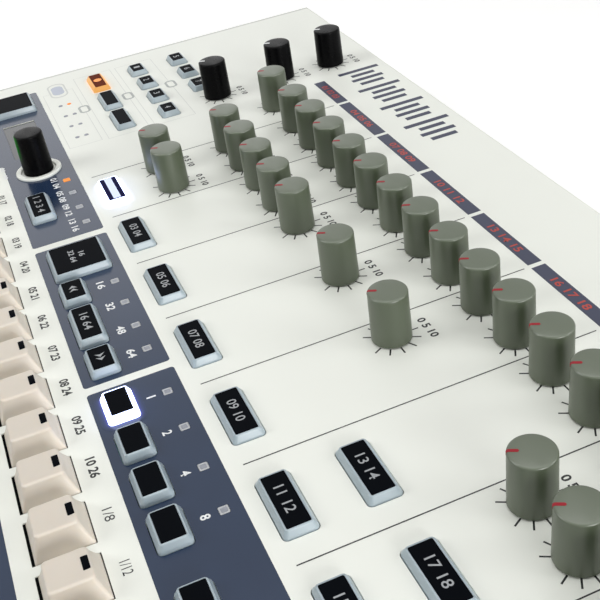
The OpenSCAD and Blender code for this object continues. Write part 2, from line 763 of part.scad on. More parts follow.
key_w = key_slot_w - 2 * key_side_gap;
key_back = key_slot_l / 2 - key_rear_gap;
key_front = -key_slot_l / 2 + key_front_gap;
key_skirt = wall + 0.5;           // cap below the panel's face
key_steps = 8;                    // steps in the flared flanks
key_flare = 1.7;                  // how quickly the flanks flare at the foot

// Half width of a key at height t, from 0 at its foot to 1 at its top
function flank(t) = key_top_w / 2 + (key_w - key_top_w) / 2 * pow(1 - t, key_flare);
function front_flank(t) = key_front + key_front_slant * (1 - pow(1 - t, key_flare));
function rear_flank(t) = key_back - key_rear_slant * (1 - pow(1 - t, key_flare));

module key_form(shrink = 0, skirt = key_skirt) {
    intersection() {
        rotate([90, 0, 0]) translate([0, 0, -key_slot_l]) linear_extrude(2 * key_slot_l)
            polygon(concat([[-key_w / 2 + shrink, -skirt]],
                [for (i = [0:key_steps]) [-flank(i / key_steps) + shrink, key_h * i / key_steps - shrink]],
                [for (i = [key_steps:-1:0]) [flank(i / key_steps) - shrink, key_h * i / key_steps - shrink]],
                [[key_w / 2 - shrink, -skirt]]));
        translate([-key_slot_w, 0, 0]) rotate([90, 0, 90]) linear_extrude(2 * key_slot_w)
            polygon(concat([[key_front + shrink, -skirt]],
                [for (i = [0:key_steps])
                    [front_flank(i / key_steps) + shrink, key_h * i / key_steps - shrink]],
                [for (i = [key_steps:-1:0])
                    [rear_flank(i / key_steps) - shrink, key_h * i / key_steps - shrink]],
                [[key_back - shrink, -skirt]]));
    }
}

module window_bar(clear) {
    depth = 2;
    middle = key_back - key_rear_slant - key_window_inset - key_window_l / 2;
    translate([0, middle, key_h - depth - clear])
        linear_extrude(key_h)
            square([key_window_w + 2 * clear, key_window_l + 2 * clear], center = true);
}

module key_cap() {
    color(ivory) {
        difference() {
            key_form();
            difference() {
                key_form(key_wall, key_skirt + past);
                translate([0, 0, key_h - 4]) linear_extrude(key_h)
                    translate([-key_slot_w / 2, 0]) square([key_slot_w, key_slot_l]);
            }
            window_bar(plate_fit);
        }
        stem_l = board_drop - 2 - key_travel - 0.5;
        translate([-key_stem / 2, -key_stem / 2, -stem_l])
            cube([key_stem, key_stem, stem_l + key_h - 3]);
    }
    color(gloss_black) intersection() {
        key_form();
        window_bar(0);
    }
}

module step_key(n) on_panel(key_x(n), key_row) key_cap();

module far_step_keys() {
    for (n = [1:key_count]) if (n < 5 || n > 11) step_key(n);
    for (n = transport_columns) on_panel(column(n), key_row) key_cap();
}

// ---- buttons --------------------------------------------------------------

// Bevelled cap with a sunk black legend plate, a lip under the panel and a stem
module push_button(x, v, plate_w, plate_l, high = button_h, rim_x = button_rim, rim_v = button_rim)
on_panel(x, v) {
    w = plate_w + 2 * rim_x;
    l = plate_l + 2 * rim_v;
    lip_top = -wall - 0.3;
    lip_low = lip_top - button_lip_t;
    stem_l = board_drop - 2 - button_travel - 0.5;
    color(button_blue) {
        difference() {
            intersection() {
                translate([0, 0, lip_low]) linear_extrude(high - lip_low) rounded_plate(w, l, button_corner);
                bevelled_bar(w, l, rim_x - button_flat, lip_low, high);
                rotate([0, 0, 90]) bevelled_bar(l, w, rim_v - button_flat, lip_low, high);
            }
            translate([0, 0, high + plate_proud - plate_t - plate_fit]) linear_extrude(plate_t + past)
                rounded_plate(plate_w + 2 * plate_fit, plate_l + 2 * plate_fit, button_corner / 2);
        }
        difference() {
            translate([0, 0, lip_low]) linear_extrude(button_lip_t)
                square([w + 2 * button_lip, l + 2 * button_lip], center = true);
            translate([0, 0, lip_low - past]) linear_extrude(button_lip_t + 2 * past)
                square([w - 1, l - 1], center = true);
        }
        translate([0, 0, -stem_l]) cylinder(r = button_stem_r, h = stem_l);
    }
    color(gloss_black) translate([0, 0, high + plate_proud - plate_t]) linear_extrude(plate_t)
        rounded_plate(plate_w, plate_l, button_corner / 2);
}

// Bar with two bevelled top edges along its length l
module bevelled_bar(w, l, bevel, low, high) {
    translate([0, l, 0]) rotate([90, 0, 0]) linear_extrude(2 * l)
        polygon([[-w / 2, low], [-w / 2, high - 2 * bevel], [-w / 2 + bevel, high],
                 [w / 2 - bevel, high], [w / 2, high - 2 * bevel], [w / 2, low]]);
}

module trigger_button(t) push_button(column(t[0]), t[1], trigger_plate_w, trigger_plate_l);
module small_button(n)
    push_button(column(n), button_row, small_plate_w, small_plate_l, field_button_h, small_rim_x, small_rim_v);
module wide_button(n) push_button(column(n), button_row, mode_plate_w, trigger_plate_l, field_button_h);
module large_button(n)
    push_button(column(n), big_row, scroll_plate_w, scroll_plate_l, field_button_h, small_rim_x, small_rim_v);

module far_buttons() {
    for (t = far_triggers) trigger_button(t);
    for (n = far_select_columns) small_button(n);
    large_button(pattern_column);
    for (n = group_columns) push_button(column(n), group_row, group_plate_w, group_plate_l);
    for (p = narrow_places) push_button(column(p[0]), p[1], narrow_plate_w, group_plate_l);
}

// ---- what is drawn --------------------------------------------------------

top_cover();
bottom_pan();
rear_panel();
circuit_boards();
pots_and_switches();
rear_sockets();
indicator_lenses();
feet();
case_screws();
far_knobs();
far_step_keys();
far_buttons();
for (i = [1:len(rear_columns)])
    knob(column(rear_columns[i - 1]), rear_row);
for (i = [1:len(middle_columns)])
    knob(column(middle_columns[i - 1]), middle_row);
for (i = [1:len(third_columns)])
    knob(column(third_columns[i - 1]), third_row);
for (i = [1:len(hat_columns)])
    knob(column(hat_columns[i - 1]), middle_row);
data_encoder();
for (i = [5:11])
    step_key(i);
for (i = [1:len(triggers)])
    trigger_button(triggers[i - 1]);
large_button(scroll_column);  // scroll_button
small_button(back_column);  // back_button
wide_button(length_column);  // length_button
small_button(forward_column);  // forward_button
wide_button(mode_column);  // mode_button
for (i = [1:len(select_columns)])
    small_button(select_columns[i - 1]);
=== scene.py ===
import math

import bmesh
import bpy
from bpy.props import FloatProperty, FloatVectorProperty, IntProperty, PointerProperty
from mathutils import Matrix, Vector


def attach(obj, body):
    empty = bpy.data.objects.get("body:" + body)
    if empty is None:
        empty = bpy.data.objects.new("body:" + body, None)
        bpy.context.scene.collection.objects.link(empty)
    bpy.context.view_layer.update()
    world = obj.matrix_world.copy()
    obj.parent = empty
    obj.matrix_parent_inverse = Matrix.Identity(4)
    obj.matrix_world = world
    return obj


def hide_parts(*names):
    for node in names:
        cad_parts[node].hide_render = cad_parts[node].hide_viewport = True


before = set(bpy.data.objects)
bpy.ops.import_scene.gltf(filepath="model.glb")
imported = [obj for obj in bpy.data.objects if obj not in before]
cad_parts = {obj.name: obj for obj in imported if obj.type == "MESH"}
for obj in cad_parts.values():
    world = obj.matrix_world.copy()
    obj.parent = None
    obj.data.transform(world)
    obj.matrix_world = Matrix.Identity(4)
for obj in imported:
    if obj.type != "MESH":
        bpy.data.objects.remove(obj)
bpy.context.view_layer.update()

bl_info = {
    "name": "Sixteen-Step Drum Machine",
    "version": (1, 0, 0),
    "blender": (4, 5, 0),
    "location": "View3D > Sidebar > Drum Machine",
    "description": "Dresses the case, knobs, keys, buttons, lamps and printing of a desktop drum machine",
    "category": "Object",
}

MM = 0.001
PROUD = 0.03 * MM          # height of a printed layer over its plastic


# ---- sizes and colours ------------------------------------------------------

def linear(code):
    """A hex colour such as #8a9a5b as the linear numbers that a shader takes."""
    srgb = [int(code[i:i + 2], 16) / 255 for i in (1, 3, 5)]
    return (*[c / 12.92 if c <= 0.04045 else ((c + 0.055) / 1.055) ** 2.4 for c in srgb], 1.0)


def size(name, text, mm):
    return FloatProperty(name=name, description=text, default=mm * MM, unit="LENGTH", precision=5)


def tint(name, text, code):
    return FloatVectorProperty(name=name, description=text, default=linear(code), size=4,
                               min=0, max=1, subtype="COLOR")


class DrumCaseSizes(bpy.types.PropertyGroup):
    """The case and the rows and columns of its panel."""
    width: size("Width", "Width of the case", 498)
    depth: size("Depth", "Depth of the case", 265)
    front: size("Front height", "Height of the panel's front edge over the table", 25)
    slope: FloatProperty(name="Slope", description="Slope of the panel", default=math.radians(7),
                         unit="ROTATION")
    pitch: size("Knob spacing", "Spacing of the knob columns", 21)
    first: size("First column", "Left side of the case to the bass drum column", 152)
    key_row: size("Key row", "Front edge to the middle of the step keys", 46.3)
    button_row: size("Button row", "Front edge to the small buttons", 74.6)
    lamp_row: size("Lamp row", "Front edge to the lamps of the small buttons", 90.4)
    trigger_row: size("Trigger row", "Front edge to the trigger buttons", 106.5)
    third_row: size("Third row", "Front edge to the third row of knobs", 131.5)
    middle_row: size("Middle row", "Front edge to the middle row of knobs", 164.9)
    rear_row: size("Rear row", "Front edge to the rear row of knobs", 198.5)


class DrumControlSizes(bpy.types.PropertyGroup):
    """Knobs, step keys, buttons and lamps."""
    knob_foot: size("Knob foot", "Radius of a knob at its foot", 6.87)
    knob_top: size("Knob top", "Radius of a knob at its top", 6.68)
    knob_height: size("Knob height", "Top of a knob over the panel", 19)
    knob_rim: size("Knob rim", "Radius of the rounded edge round a knob's top", 0.8)
    knob_dish: size("Knob dish", "How far the middle of a knob's top lies below its edge", 0.12)
    knob_gap: size("Knob gap", "Gap between a knob and the panel", 0.6)
    encoder_foot: size("Encoder foot", "Radius of the encoder knob at its foot", 7)
    encoder_top: size("Encoder top", "Radius of the encoder knob at its top", 6.55)
    encoder_height: size("Encoder height", "Top of the encoder knob over the panel", 19.7)
    pointer_width: size("Pointer width", "Width of the red line on a knob", 1.05)
    tick_start: size("Tick start", "Radius at which the scale lines start", 6.5)
    tick_length: size("Tick length", "Length of a scale line", 3.2)
    tick_width: size("Tick width", "Width of a scale line", 0.55)
    tick_count: IntProperty(name="Ticks", description="Scale lines round a knob", default=11, min=2)
    key_pitch: size("Key spacing", "Spacing of the step keys", 21.32)
    key_start: size("Key start", "First step key's distance from the bass drum column", -14.3)
    key_foot: size("Key foot", "Width of a step key at its foot", 17)
    key_crown: size("Key crown", "Width of a step key's top face", 12.1)
    key_height: size("Key height", "Top of a step key over the panel", 7.4)
    key_edge: size("Key edge", "Radius along the edges of a step key's top face", 0.8)
    button_flat: size("Button rim", "Width of the flat rim round a button's black plate", 0.4)
    lamp: size("Lamp", "Side of a lamp window", 3)


class DrumColours(bpy.types.PropertyGroup):
    """Colours of the mouldings, inks and lamps."""
    cover: tint("Cover", "Off-white cover", "#ebede5")
    slate: tint("Slate ink", "Dark printed fields", "#21314a")
    strip: tint("Strip ink", "Dark strips behind the knobs", "#292e44")
    black: tint("Black ink", "Scale lines and numbers", "#131514")
    grey: tint("Grey ink", "Rings at the upper left", "#a9adaa")
    pale: tint("Pale ink", "Thin frames at the upper left", "#cfd1cc")
    white: tint("White ink", "Numbers on the dark fields", "#e6e8e8")
    legend: tint("Legend ink", "Numbers on the black plates", "#9c9fa2")
    red: tint("Red ink", "Numbers on the dark strips", "#a83a2f")
    olive: tint("Olive", "Knobs", "#4d5643")
    pointer: tint("Pointer", "Red line on a knob", "#8c0c1e")
    ivory: tint("Ivory", "Step keys", "#d5ccbf")
    button: tint("Button", "Milky rims of the buttons", "#a3b1b8")
    plate: tint("Plate", "Black plates of the buttons", "#030509")
    encoder: tint("Encoder", "Black knobs", "#050506")
    lamp_off: tint("Lamp, off", "Unlit lamp windows", "#8d9098")
    lamp_amber: tint("Amber", "Lit amber lamps", "#f08c26")
    lamp_cream: tint("Cream light", "Rim of the lit amber button", "#e2a355")
    lamp_white: tint("White light", "Lit white buttons", "#c6d2ff")
    # Colour of the painted glow on the print round a lit white button
    lamp_leak: tint("Violet light", "Gap round a lit white button", "#5248c8")
    lamp_stripe: tint("Blue-white light", "Window of the lit trigger button", "#d2dcff")
    digit: tint("Digits", "Lit digits of the display", "#12e626")


HOLDERS = {"drum_case": DrumCaseSizes, "drum_controls": DrumControlSizes, "drum_colours": DrumColours}


def case():
    return bpy.context.scene.drum_case


def controls():
    return bpy.context.scene.drum_controls


def colours():
    return bpy.context.scene.drum_colours


# ---- places -----------------------------------------------------------------

def numbered(name, columns):
    return {f"{name}_{i}": n for i, n in enumerate(columns, 1)}


# Columns are counted in knob spacings from the bass drum column
REAR_KNOBS = numbered("rear_knob", (-1.32, *range(12)))
MIDDLE_KNOBS = numbered("middle_knob", (0, 1, 2, 3, 4, 6, 8))
THIRD_KNOBS = numbered("third_knob", (0, 1))
HAT_KNOBS = numbered("hat_knob", (12, 13))
FAR_REAR, FAR_MIDDLE = (12, 13, 14, 15), (14, 15)
MASTER_COLUMN, MASTER_ROWS = -2.85, (-0.95, 0.72, 2.05)
ENCODER_COLUMN, DISPLAY_COLUMN = -1.6, -3.5
TRIGGERS = [0.5, 2.5, 4.5, 6.5, 8.5, 10.5]
FAR_TRIGGERS = [12.5, 14.5]
SELECTS = [7.39 + 0.928 * i for i in range(4)]
FAR_SELECTS = [11.55 + 0.928 * i for i in range(4)]
GROUP_BUTTONS = [-5.62, -4.3, -2.98]
NARROW_BUTTONS = [-5.78, -4.77, -3.76, -2.75]
TRANSPORT_KEYS = (-5.2, -3.5)
STEP_KEYS, MOVING_KEYS = range(1, 17), range(5, 12)
LAMPS = [-0.74, -0.08, 0.64, 1.33, 3.84, 4.61, 5.40, 6.14, 7.39, 8.31, 9.25, 10.17]
DOTS = (-4.9, -4.19, -3.5, -2.78)
SECTIONS = (-0.5, 1.5, 3.5, 5.5, 7.5, 9.5, 11.5, 13.5, 15.5)

# Further rows: the row that each is counted from and how many knob spacings it lies behind that
ROWS = {"encoder": ("button_row", 0.29), "large": ("button_row", 0.3), "display": ("button_row", 0.27),
        "group": ("third_row", -0.15), "narrow": ("third_row", 0.95), "upper": ("third_row", 2.04)}

LOWER_STOP, SWEEP = math.radians(-120), math.radians(-300)   # of a knob, anticlockwise from +X
CAP_SIDES = 72

# Buttons, in millimetres: width and length of the plate, rim at its ends and along it, height over the panel
BUTTONS = {"trigger": (21, 7.2, 1.7, 1.7, 2.5), "small": (12.1, 7.2, 1.4, 1.6, 3),
           "wide": (20.4, 7.2, 1.7, 1.7, 3), "large": (20.4, 19.4, 1.4, 1.6, 3),
           "group": (18.5, 6, 1.7, 1.7, 2.5), "narrow": (10, 6, 1.7, 1.7, 2.5)}
PLATE_TOP = 0.18           # of a mark on a button, over its rim
ARROWS = {"back": -1, "forward": 1}        # captions that are arrowheads, and the way they point

# Step keys, in millimetres
KEY_SLOT = (17.6, 18.4)
KEY_ENDS = (-8.3, 8.85)    # foot of a key in its slot, front and rear
KEY_SLANTS = (2.0, 2.4)    # how far its top face is set back there
KEY_WINDOW = (5, 2, 4.85)  # width, length and place of its lamp window
# Black sheet of painted shade in the key slots: its gap to a key's foot and its depth below the panel
SLOT_SHADE_GAP, SLOT_SHADE_SINK = 0.08, 0.4

# Display, in millimetres: width and length of the window, how deep it lies, and its digits
DISPLAY, DISPLAY_SINK = (42, 16), 0.4
DIGIT_SIZE, DIGIT_BAR, DIGIT_SLIT = (4.6, 8.4), 0.9, 0.12
FIRST_DIGIT, DIGIT_STEP = -12, 8
# Bars of a seven-bar digit: top, upper right, lower right, bottom, lower left, upper left, middle
DIGITS = {"0": (0, 1, 2, 3, 4, 5), "1": (1, 2), "2": (0, 1, 6, 4, 3)}

# Rear sockets, in millimetres: the jacks across and up, and how far the panel's face lies inside the case
JACKS, JACK_HEIGHT, REAR_RECESS = [-30 + 23 * i for i in range(8)] + [158, 181], 35, 6.5
# Radius and height of the rings of a jack's nut and lip
JACK_NUT = ((4.68, 1.5), (7.1, 1.5), (7.1, 3.2), (6.5, 3.6), (4.68, 3.6))
JACK_LIP = ((4.67, 1.5), (4.67, 4.45), (4.5, 4.62), (3.4, 4.62), (3.3, 4.3))


def in_mm(values):
    return [value * MM for value in values]


def column(n):
    """Place across the panel of knob column n."""
    return case().first - case().width / 2 + case().pitch * n


def key_column(n):
    return column(0) + controls().key_start + controls().key_pitch * (n - 1)


def at(n, v, height=0.0):
    return (column(n), v, height)


def row_of(name):
    start, spacings = ROWS[name]
    return getattr(case(), start) + spacings * case().pitch


def field_row(y):
    """Place up the panel that lies y knob spacings behind the rear row of knobs."""
    return case().rear_row + y * case().pitch


def panel_plane():
    """Lays flat work, x across and y up the slope, on the panel."""
    c = case()
    return Matrix.Translation((0, -c.depth / 2, c.front)) @ Matrix.Rotation(c.slope, 4, "X")


def moving_knobs():
    """Node, column and row of each knob that turns."""
    c = case()
    for knobs, row in ((REAR_KNOBS, c.rear_row), (MIDDLE_KNOBS, c.middle_row),
                       (THIRD_KNOBS, c.third_row), (HAT_KNOBS, c.middle_row)):
        for node, n in knobs.items():
            yield node, n, row


def fixed_knobs():
    """Column and row of the olive knobs that stand fixed."""
    return [(n, case().rear_row) for n in FAR_REAR] + [(n, case().middle_row) for n in FAR_MIDDLE]


def master_knobs():
    """Column and row of the black knobs at the upper left."""
    return [(MASTER_COLUMN, field_row(y)) for y in MASTER_ROWS]


def moving_buttons():
    """Node, kind, column, row and caption of each button that moves."""
    c = case()
    for i, n in enumerate(TRIGGERS):
        yield f"trigger_button_{i + 1}", "trigger", n, c.trigger_row, f"{2 * i + 1:02d} {2 * i + 2:02d}"
    yield "trigger_button_7", "trigger", TRIGGERS[-1], c.third_row, "13 14"
    yield "scroll_button", "large", 2.78, row_of("large"), ""
    yield "back_button", "small", 3.9, c.button_row, "back"
    yield "length_button", "wide", 5.03, c.button_row, "16 64"
    yield "forward_button", "small", 6.15, c.button_row, "forward"
    yield "mode_button", "wide", 0.3, c.button_row, "1 2 3 4"
    for node, n in numbered("select_button", SELECTS).items():
        yield node, "small", n, c.button_row, ""


def fixed_buttons():
    """Kind, column, row and caption of each button that stands fixed."""
    c = case()
    for i, n in enumerate(FAR_TRIGGERS):
        yield "trigger", n, c.trigger_row, f"{15 + 4 * i} {16 + 4 * i}"
        yield "trigger", n, c.third_row, f"{17 + 4 * i} {18 + 4 * i}"
    for n in FAR_SELECTS:
        yield "small", n, c.button_row, ""
    yield "large", -5.58, row_of("large"), ""
    for n in GROUP_BUTTONS:
        yield "group", n, row_of("group"), ""
    for i, n in enumerate(NARROW_BUTTONS, 1):
        yield "narrow", n, row_of("narrow"), f"{i}"
    for i, n in enumerate(NARROW_BUTTONS[:3], 5):
        yield "narrow", n, row_of("upper"), f"{i}"


# ---- meshes -----------------------------------------------------------------

def meshed(bm, name):
    """The plain mesh of a bmesh, which is freed."""
    mesh = bpy.data.meshes.new(name)
    bm.to_mesh(mesh)
    bm.free()
    return mesh


def shaded(mesh):
    """Smooth shading, with a crease where faces meet at more than 38 degrees."""
    mesh.shade_smooth()
    mesh.set_sharp_from_angle(angle=math.radians(38))
    return mesh


def rounded_ring(corners, radius, steps=5):
    """Outline with rounded corners, inward ones too, as (x, y) points in the order of the corners."""
    ring, count = [], len(corners)
    for i in range(count):
        before, corner, after = (Vector(corners[(i + k) % count]) for k in (-1, 0, 1))
        u, w = (before - corner).normalized(), (after - corner).normalized()
        half = u.angle(w) / 2
        centre = corner + (u + w).normalized() * radius / math.sin(half)
        start = corner + u * radius / math.tan(half) - centre
        end = corner + w * radius / math.tan(half) - centre
        for k in range(steps + 1):
            ring.append(tuple(centre + radius * start.slerp(end, k / steps, start)))
    return ring


def box_ring(width, length, radius, middle=(0, 0), steps=5):
    (x, y), (a, b) = middle, (width / 2, length / 2)
    return rounded_ring([(x + a, y - b), (x + a, y + b), (x - a, y + b), (x - a, y - b)], radius, steps)


def mm_ring(width, length, radius, middle=(0, 0), steps=5):
    """A box ring whose sizes, but not its middle, are in millimetres."""
    return box_ring(width * MM, length * MM, radius * MM, middle, steps)


def raised(ring, z):
    return [(x, y, z) for x, y in ring]


def loft(name, rings, ends=True):
    """Mesh through rings of points, each anticlockwise, from the lowest to the highest."""
    bm = bmesh.new()
    loops = [[bm.verts.new(p) for p in ring] for ring in rings]
    for low, high in zip(loops, loops[1:]):
        for i, start in enumerate(low):
            j = (i + 1) % len(low)
            bm.faces.new((start, low[j], high[j], high[i]))
    if not ends:
        return meshed(bm, name)
    bm.faces.new(loops[0][::-1])
    bm.faces.new(loops[-1])
    return shaded(meshed(bm, name))


def lathed(name, profile, sides):
    """Open band round the Z axis through (radius, height) pairs in millimetres."""
    turns = [math.radians(360 / sides * i) for i in range(sides)]
    return loft(name, [[(r * MM * math.cos(a), r * MM * math.sin(a), h * MM) for a in turns]
                       for r, h in profile], ends=False)


def evaluated(thing):
    """The plain mesh that a carrier object gives; the carrier is removed."""
    bpy.context.scene.collection.objects.link(thing)
    graph = bpy.context.evaluated_depsgraph_get()
    mesh = bpy.data.meshes.new_from_object(thing.evaluated_get(graph), depsgraph=graph)
    bpy.data.objects.remove(thing)
    return mesh


def fitted(mesh, material):
    """The mesh in one material."""
    mesh.materials.clear()
    mesh.materials.append(material)
    return mesh


def inked(outlines, height, material):
    """Flat print over the panel: each outline is filled, and one inside another is left open."""
    curve = bpy.data.curves.new("ink", "CURVE")
    curve.dimensions, curve.fill_mode = "2D", "BOTH"
    for ring in outlines:
        spline = curve.splines.new("POLY")
        spline.points.add(len(ring) - 1)
        for point, (x, y) in zip(spline.points, ring):
            point.co = (x, y, 0, 1)
        spline.use_cyclic_u = True
    mesh = evaluated(bpy.data.objects.new("ink", curve))
    mesh.transform(Matrix.Translation((0, 0, height)))
    return fitted(mesh, material)


def numerals(items, material, weight=0.0):
    """Flat lettering from (text, middle, cap height, width) items, the last two in millimetres."""
    bm = bmesh.new()
    for text, place, cap, width in items:
        curve = bpy.data.curves.new("numeral", "FONT")
        curve.body, curve.resolution_u, curve.offset = text, 3, weight
        mesh = evaluated(bpy.data.objects.new("numeral", curve))
        xs, ys = [v.co.x for v in mesh.vertices], [v.co.y for v in mesh.vertices]
        middle = Matrix.Translation((-(min(xs) + max(xs)) / 2, -(min(ys) + max(ys)) / 2, 0))
        spread = Matrix.Diagonal((width * MM / (max(xs) - min(xs)), cap * MM / (max(ys) - min(ys)), 1, 1))
        mesh.transform(Matrix.Translation(place) @ spread @ middle)
        bm.from_mesh(mesh)
        bpy.data.meshes.remove(mesh)
    return fitted(meshed(bm, "numerals"), material)


def piece(name, parts, body, nodes=(), plane=None):
    """One object from meshes laid out on the panel, each with its material, riding on a body."""
    bm, materials = bmesh.new(), []
    for part in parts:
        first = len(bm.faces)
        bm.from_mesh(part)
        bm.faces.ensure_lookup_table()
        for face in bm.faces[first:]:
            face.material_index = len(materials)
        materials.append(part.materials[0])
    mesh = meshed(bm, name)
    for material in materials:
        mesh.materials.append(material)
    mesh.transform(panel_plane() if plane is None else plane)
    thing = bpy.data.objects.new(name, mesh)
    bpy.context.scene.collection.objects.link(thing)
    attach(thing, body)
    if nodes:
        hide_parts(*nodes)
    return thing


def printed(name, parts):
    """Printing on the cover."""
    return piece(name, parts, "case")


def lens_piece(name, parts):
    """Lamps or part of the display."""
    return piece(name, parts, "case", ["indicator_lenses"])


# ---- node trees -------------------------------------------------------------

def add(tree, kind, inputs=(), **settings):
    """Adds a node with its settings; inputs gives each socket a value, a socket or a node, for its first."""
    node = tree.nodes.new(kind)
    for key, value in settings.items():
        setattr(node, key, value)
    for key, value in dict(inputs).items():
        if isinstance(value, bpy.types.Node):
            value = value.outputs[0]
        if isinstance(value, bpy.types.NodeSocket):
            tree.links.new(value, node.inputs[key])
        else:
            node.inputs[key].default_value = value
    return node


def maths(tree, operation, *values):
    """A Math node on the values."""
    return add(tree, "ShaderNodeMath", dict(enumerate(values)), operation=operation)


def ramped(tree, value, low, high, start=0.0, end=1.0, **settings):
    """A Map Range node that takes low to high over to start to end."""
    return add(tree, "ShaderNodeMapRange", {"Value": value, "From Min": low, "From Max": high,
                                            "To Min": start, "To Max": end}, **settings)


def new_tree(name, **sockets):
    """A geometry tree that takes points, the given inputs and a finish, and its group input's outputs."""
    tree = bpy.data.node_groups.new(name, "GeometryNodeTree")
    face = tree.interface
    face.new_socket(name="Geometry", in_out="OUTPUT", socket_type="NodeSocketGeometry")
    for key, kind in {"Points": "Geometry", **sockets, "Finish": "Material"}.items():
        face.new_socket(name=key.replace("_", " "), in_out="INPUT", socket_type="NodeSocket" + kind)
    return tree, add(tree, "NodeGroupInput").outputs


def close_tree(tree, given, instance, **inputs):
    """Ends a tree: sets a like instance on each of its points, makes all real and gives them their finish."""
    placed = add(tree, "GeometryNodeInstanceOnPoints", {"Points": given["Points"], "Instance": instance,
                                                        **inputs})
    real = add(tree, "GeometryNodeRealizeInstances", {"Geometry": placed})
    done = add(tree, "GeometryNodeSetMaterial", {"Geometry": real, "Material": given["Finish"]})
    add(tree, "NodeGroupOutput", {"Geometry": done})
    return tree


def turned_cap_tree():
    """Lathe-turned cap: a tapered side, a quarter-round rim and a slightly dished top, on every point."""
    tree, given = new_tree("turned_cap", Foot_Radius="Float", Top_Radius="Float", Height="Float",
                           Rim="Float", Dish="Float", Gap="Float", Sides="Int")
    # Along the rod, point 0 is the foot, 1 to 9 round the rim, and 10 to 13 cross the top to its middle
    rim_first, rim_last, middle = 1.0, 9.0, 13.0
    hub_share = 0.005      # of the top's radius, left open round the middle and then capped
    index = add(tree, "GeometryNodeInputIndex")
    side = maths(tree, "MINIMUM", index, rim_first)
    turn = ramped(tree, index, rim_first, rim_last, 0.0, math.pi / 2)
    crown = ramped(tree, index, rim_last, middle)
    rise, reach = maths(tree, "SINE", turn), maths(tree, "COSINE", turn)

    # Height of each point over the panel
    edge = maths(tree, "SUBTRACT", given["Height"], given["Rim"])
    climb = maths(tree, "SUBTRACT", edge, given["Gap"])
    wall = maths(tree, "MULTIPLY_ADD", side, climb, given["Gap"])
    rim = maths(tree, "MULTIPLY_ADD", rise, given["Rim"], wall)
    dip = maths(tree, "MULTIPLY", crown, given["Dish"])
    place = add(tree, "ShaderNodeCombineXYZ", {"Z": maths(tree, "SUBTRACT", rim, dip)})

    # Radius there
    inner = maths(tree, "SUBTRACT", given["Top Radius"], given["Rim"])
    bulge = maths(tree, "MULTIPLY_ADD", reach, given["Rim"], inner)
    skirt = add(tree, "ShaderNodeMix", {"Factor": side, "A": given["Foot Radius"], "B": bulge})
    hub = maths(tree, "MULTIPLY", inner, hub_share)
    r = add(tree, "ShaderNodeMix", {"Factor": crown, "A": skirt, "B": hub})

    rod = add(tree, "GeometryNodeCurvePrimitiveLine")
    rod = add(tree, "GeometryNodeResampleCurve", {"Curve": rod, "Count": int(middle) + 1})
    rod = add(tree, "GeometryNodeSetPosition", {"Geometry": rod, "Position": place})
    circle = add(tree, "GeometryNodeCurvePrimitiveCircle", {"Resolution": given["Sides"], "Radius": 1.0})
    return close_tree(tree, given, add(tree, "GeometryNodeCurveToMesh", {
        "Curve": rod, "Profile Curve": circle, "Scale": r, "Fill Caps": True}))


def scale_lines_tree():
    """Printed scale round a knob: lines in a ring, from the lower stop to the upper one, on every point."""
    tree, given = new_tree("scale_lines", Radius="Float", Length="Float", Width="Float", Count="Int",
                           Start="Float", Sweep="Float")
    step = maths(tree, "DIVIDE", given["Sweep"], maths(tree, "SUBTRACT", given["Count"], 1.0))
    angle = maths(tree, "MULTIPLY_ADD", add(tree, "GeometryNodeInputIndex"), step, given["Start"])
    reach = maths(tree, "MULTIPLY_ADD", given["Length"], 0.5, given["Radius"])
    turn, arm = (add(tree, "ShaderNodeCombineXYZ", way) for way in ({"Z": angle}, {"X": reach}))
    place = add(tree, "ShaderNodeVectorRotate", {"Vector": arm, "Angle": angle}, rotation_type="Z_AXIS")
    dots = add(tree, "GeometryNodePoints", {"Count": given["Count"], "Position": place})
    line = add(tree, "GeometryNodeMeshGrid", {"Size X": given["Length"], "Size Y": given["Width"],
                                              "Vertices X": 2, "Vertices Y": 2})
    return close_tree(tree, given, add(tree, "GeometryNodeInstanceOnPoints", {
        "Points": dots, "Instance": line, "Rotation": turn}))


def printed_bars_tree():
    """Printed bars and lines: a flat rectangle on every point, as large as its size attribute says."""
    tree, given = new_tree("printed_bars")
    block = add(tree, "GeometryNodeMeshGrid", {"Size X": 1.0, "Size Y": 1.0, "Vertices X": 2,
                                               "Vertices Y": 2})
    spread = add(tree, "GeometryNodeInputNamedAttribute", {"Name": "size"}, data_type="FLOAT_VECTOR")
    return close_tree(tree, given, block, Scale=spread)


def set_out_tree():
    """A like piece on every point."""
    tree, given = new_tree("set_out", Piece="Object")
    like = add(tree, "GeometryNodeObjectInfo", {"Object": given["Piece"], "As Instance": True})
    return close_tree(tree, given, like.outputs["Geometry"])


def grown(builder, points, material, sizes=(), **values):
    """Runs a geometry tree on points and returns its plain mesh."""
    tree = bpy.data.node_groups.get(builder.__name__[:-len("_tree")]) or builder()
    seeds = bpy.data.meshes.new("seeds")
    seeds.from_pydata(points, [], [])
    if sizes:
        layer = seeds.attributes.new("size", "FLOAT_VECTOR", "POINT")
        for item, (w, l) in zip(layer.data, sizes):
            item.vector = (w, l, 1)
    carrier = bpy.data.objects.new("carrier", seeds)
    modifier = carrier.modifiers.new("tree", "NODES")
    modifier.node_group = tree
    values["Finish"] = material
    for item in tree.interface.items_tree:
        key = item.name.replace(" ", "_")
        if item.in_out == "INPUT" and key in values:
            modifier[item.identifier] = values[key]
    return fitted(evaluated(carrier), material)


def set_out(mesh, points, material):
    """Copies of a mesh on the points."""
    like = bpy.data.objects.new("like", mesh)
    made = grown(set_out_tree, points, material, Piece=like)
    bpy.data.objects.remove(like)
    return made


# ---- finishes ---------------------------------------------------------------

COVER_ROUGH, FIELD_ROUGH, FIELD_IOR = 0.46, 0.18, 1.46
GLOSS_DRIFT = 0.04         # how far the roughness strays either way
FAR, NEAR = 0.7, 0.3       # range of noise that a finish uses


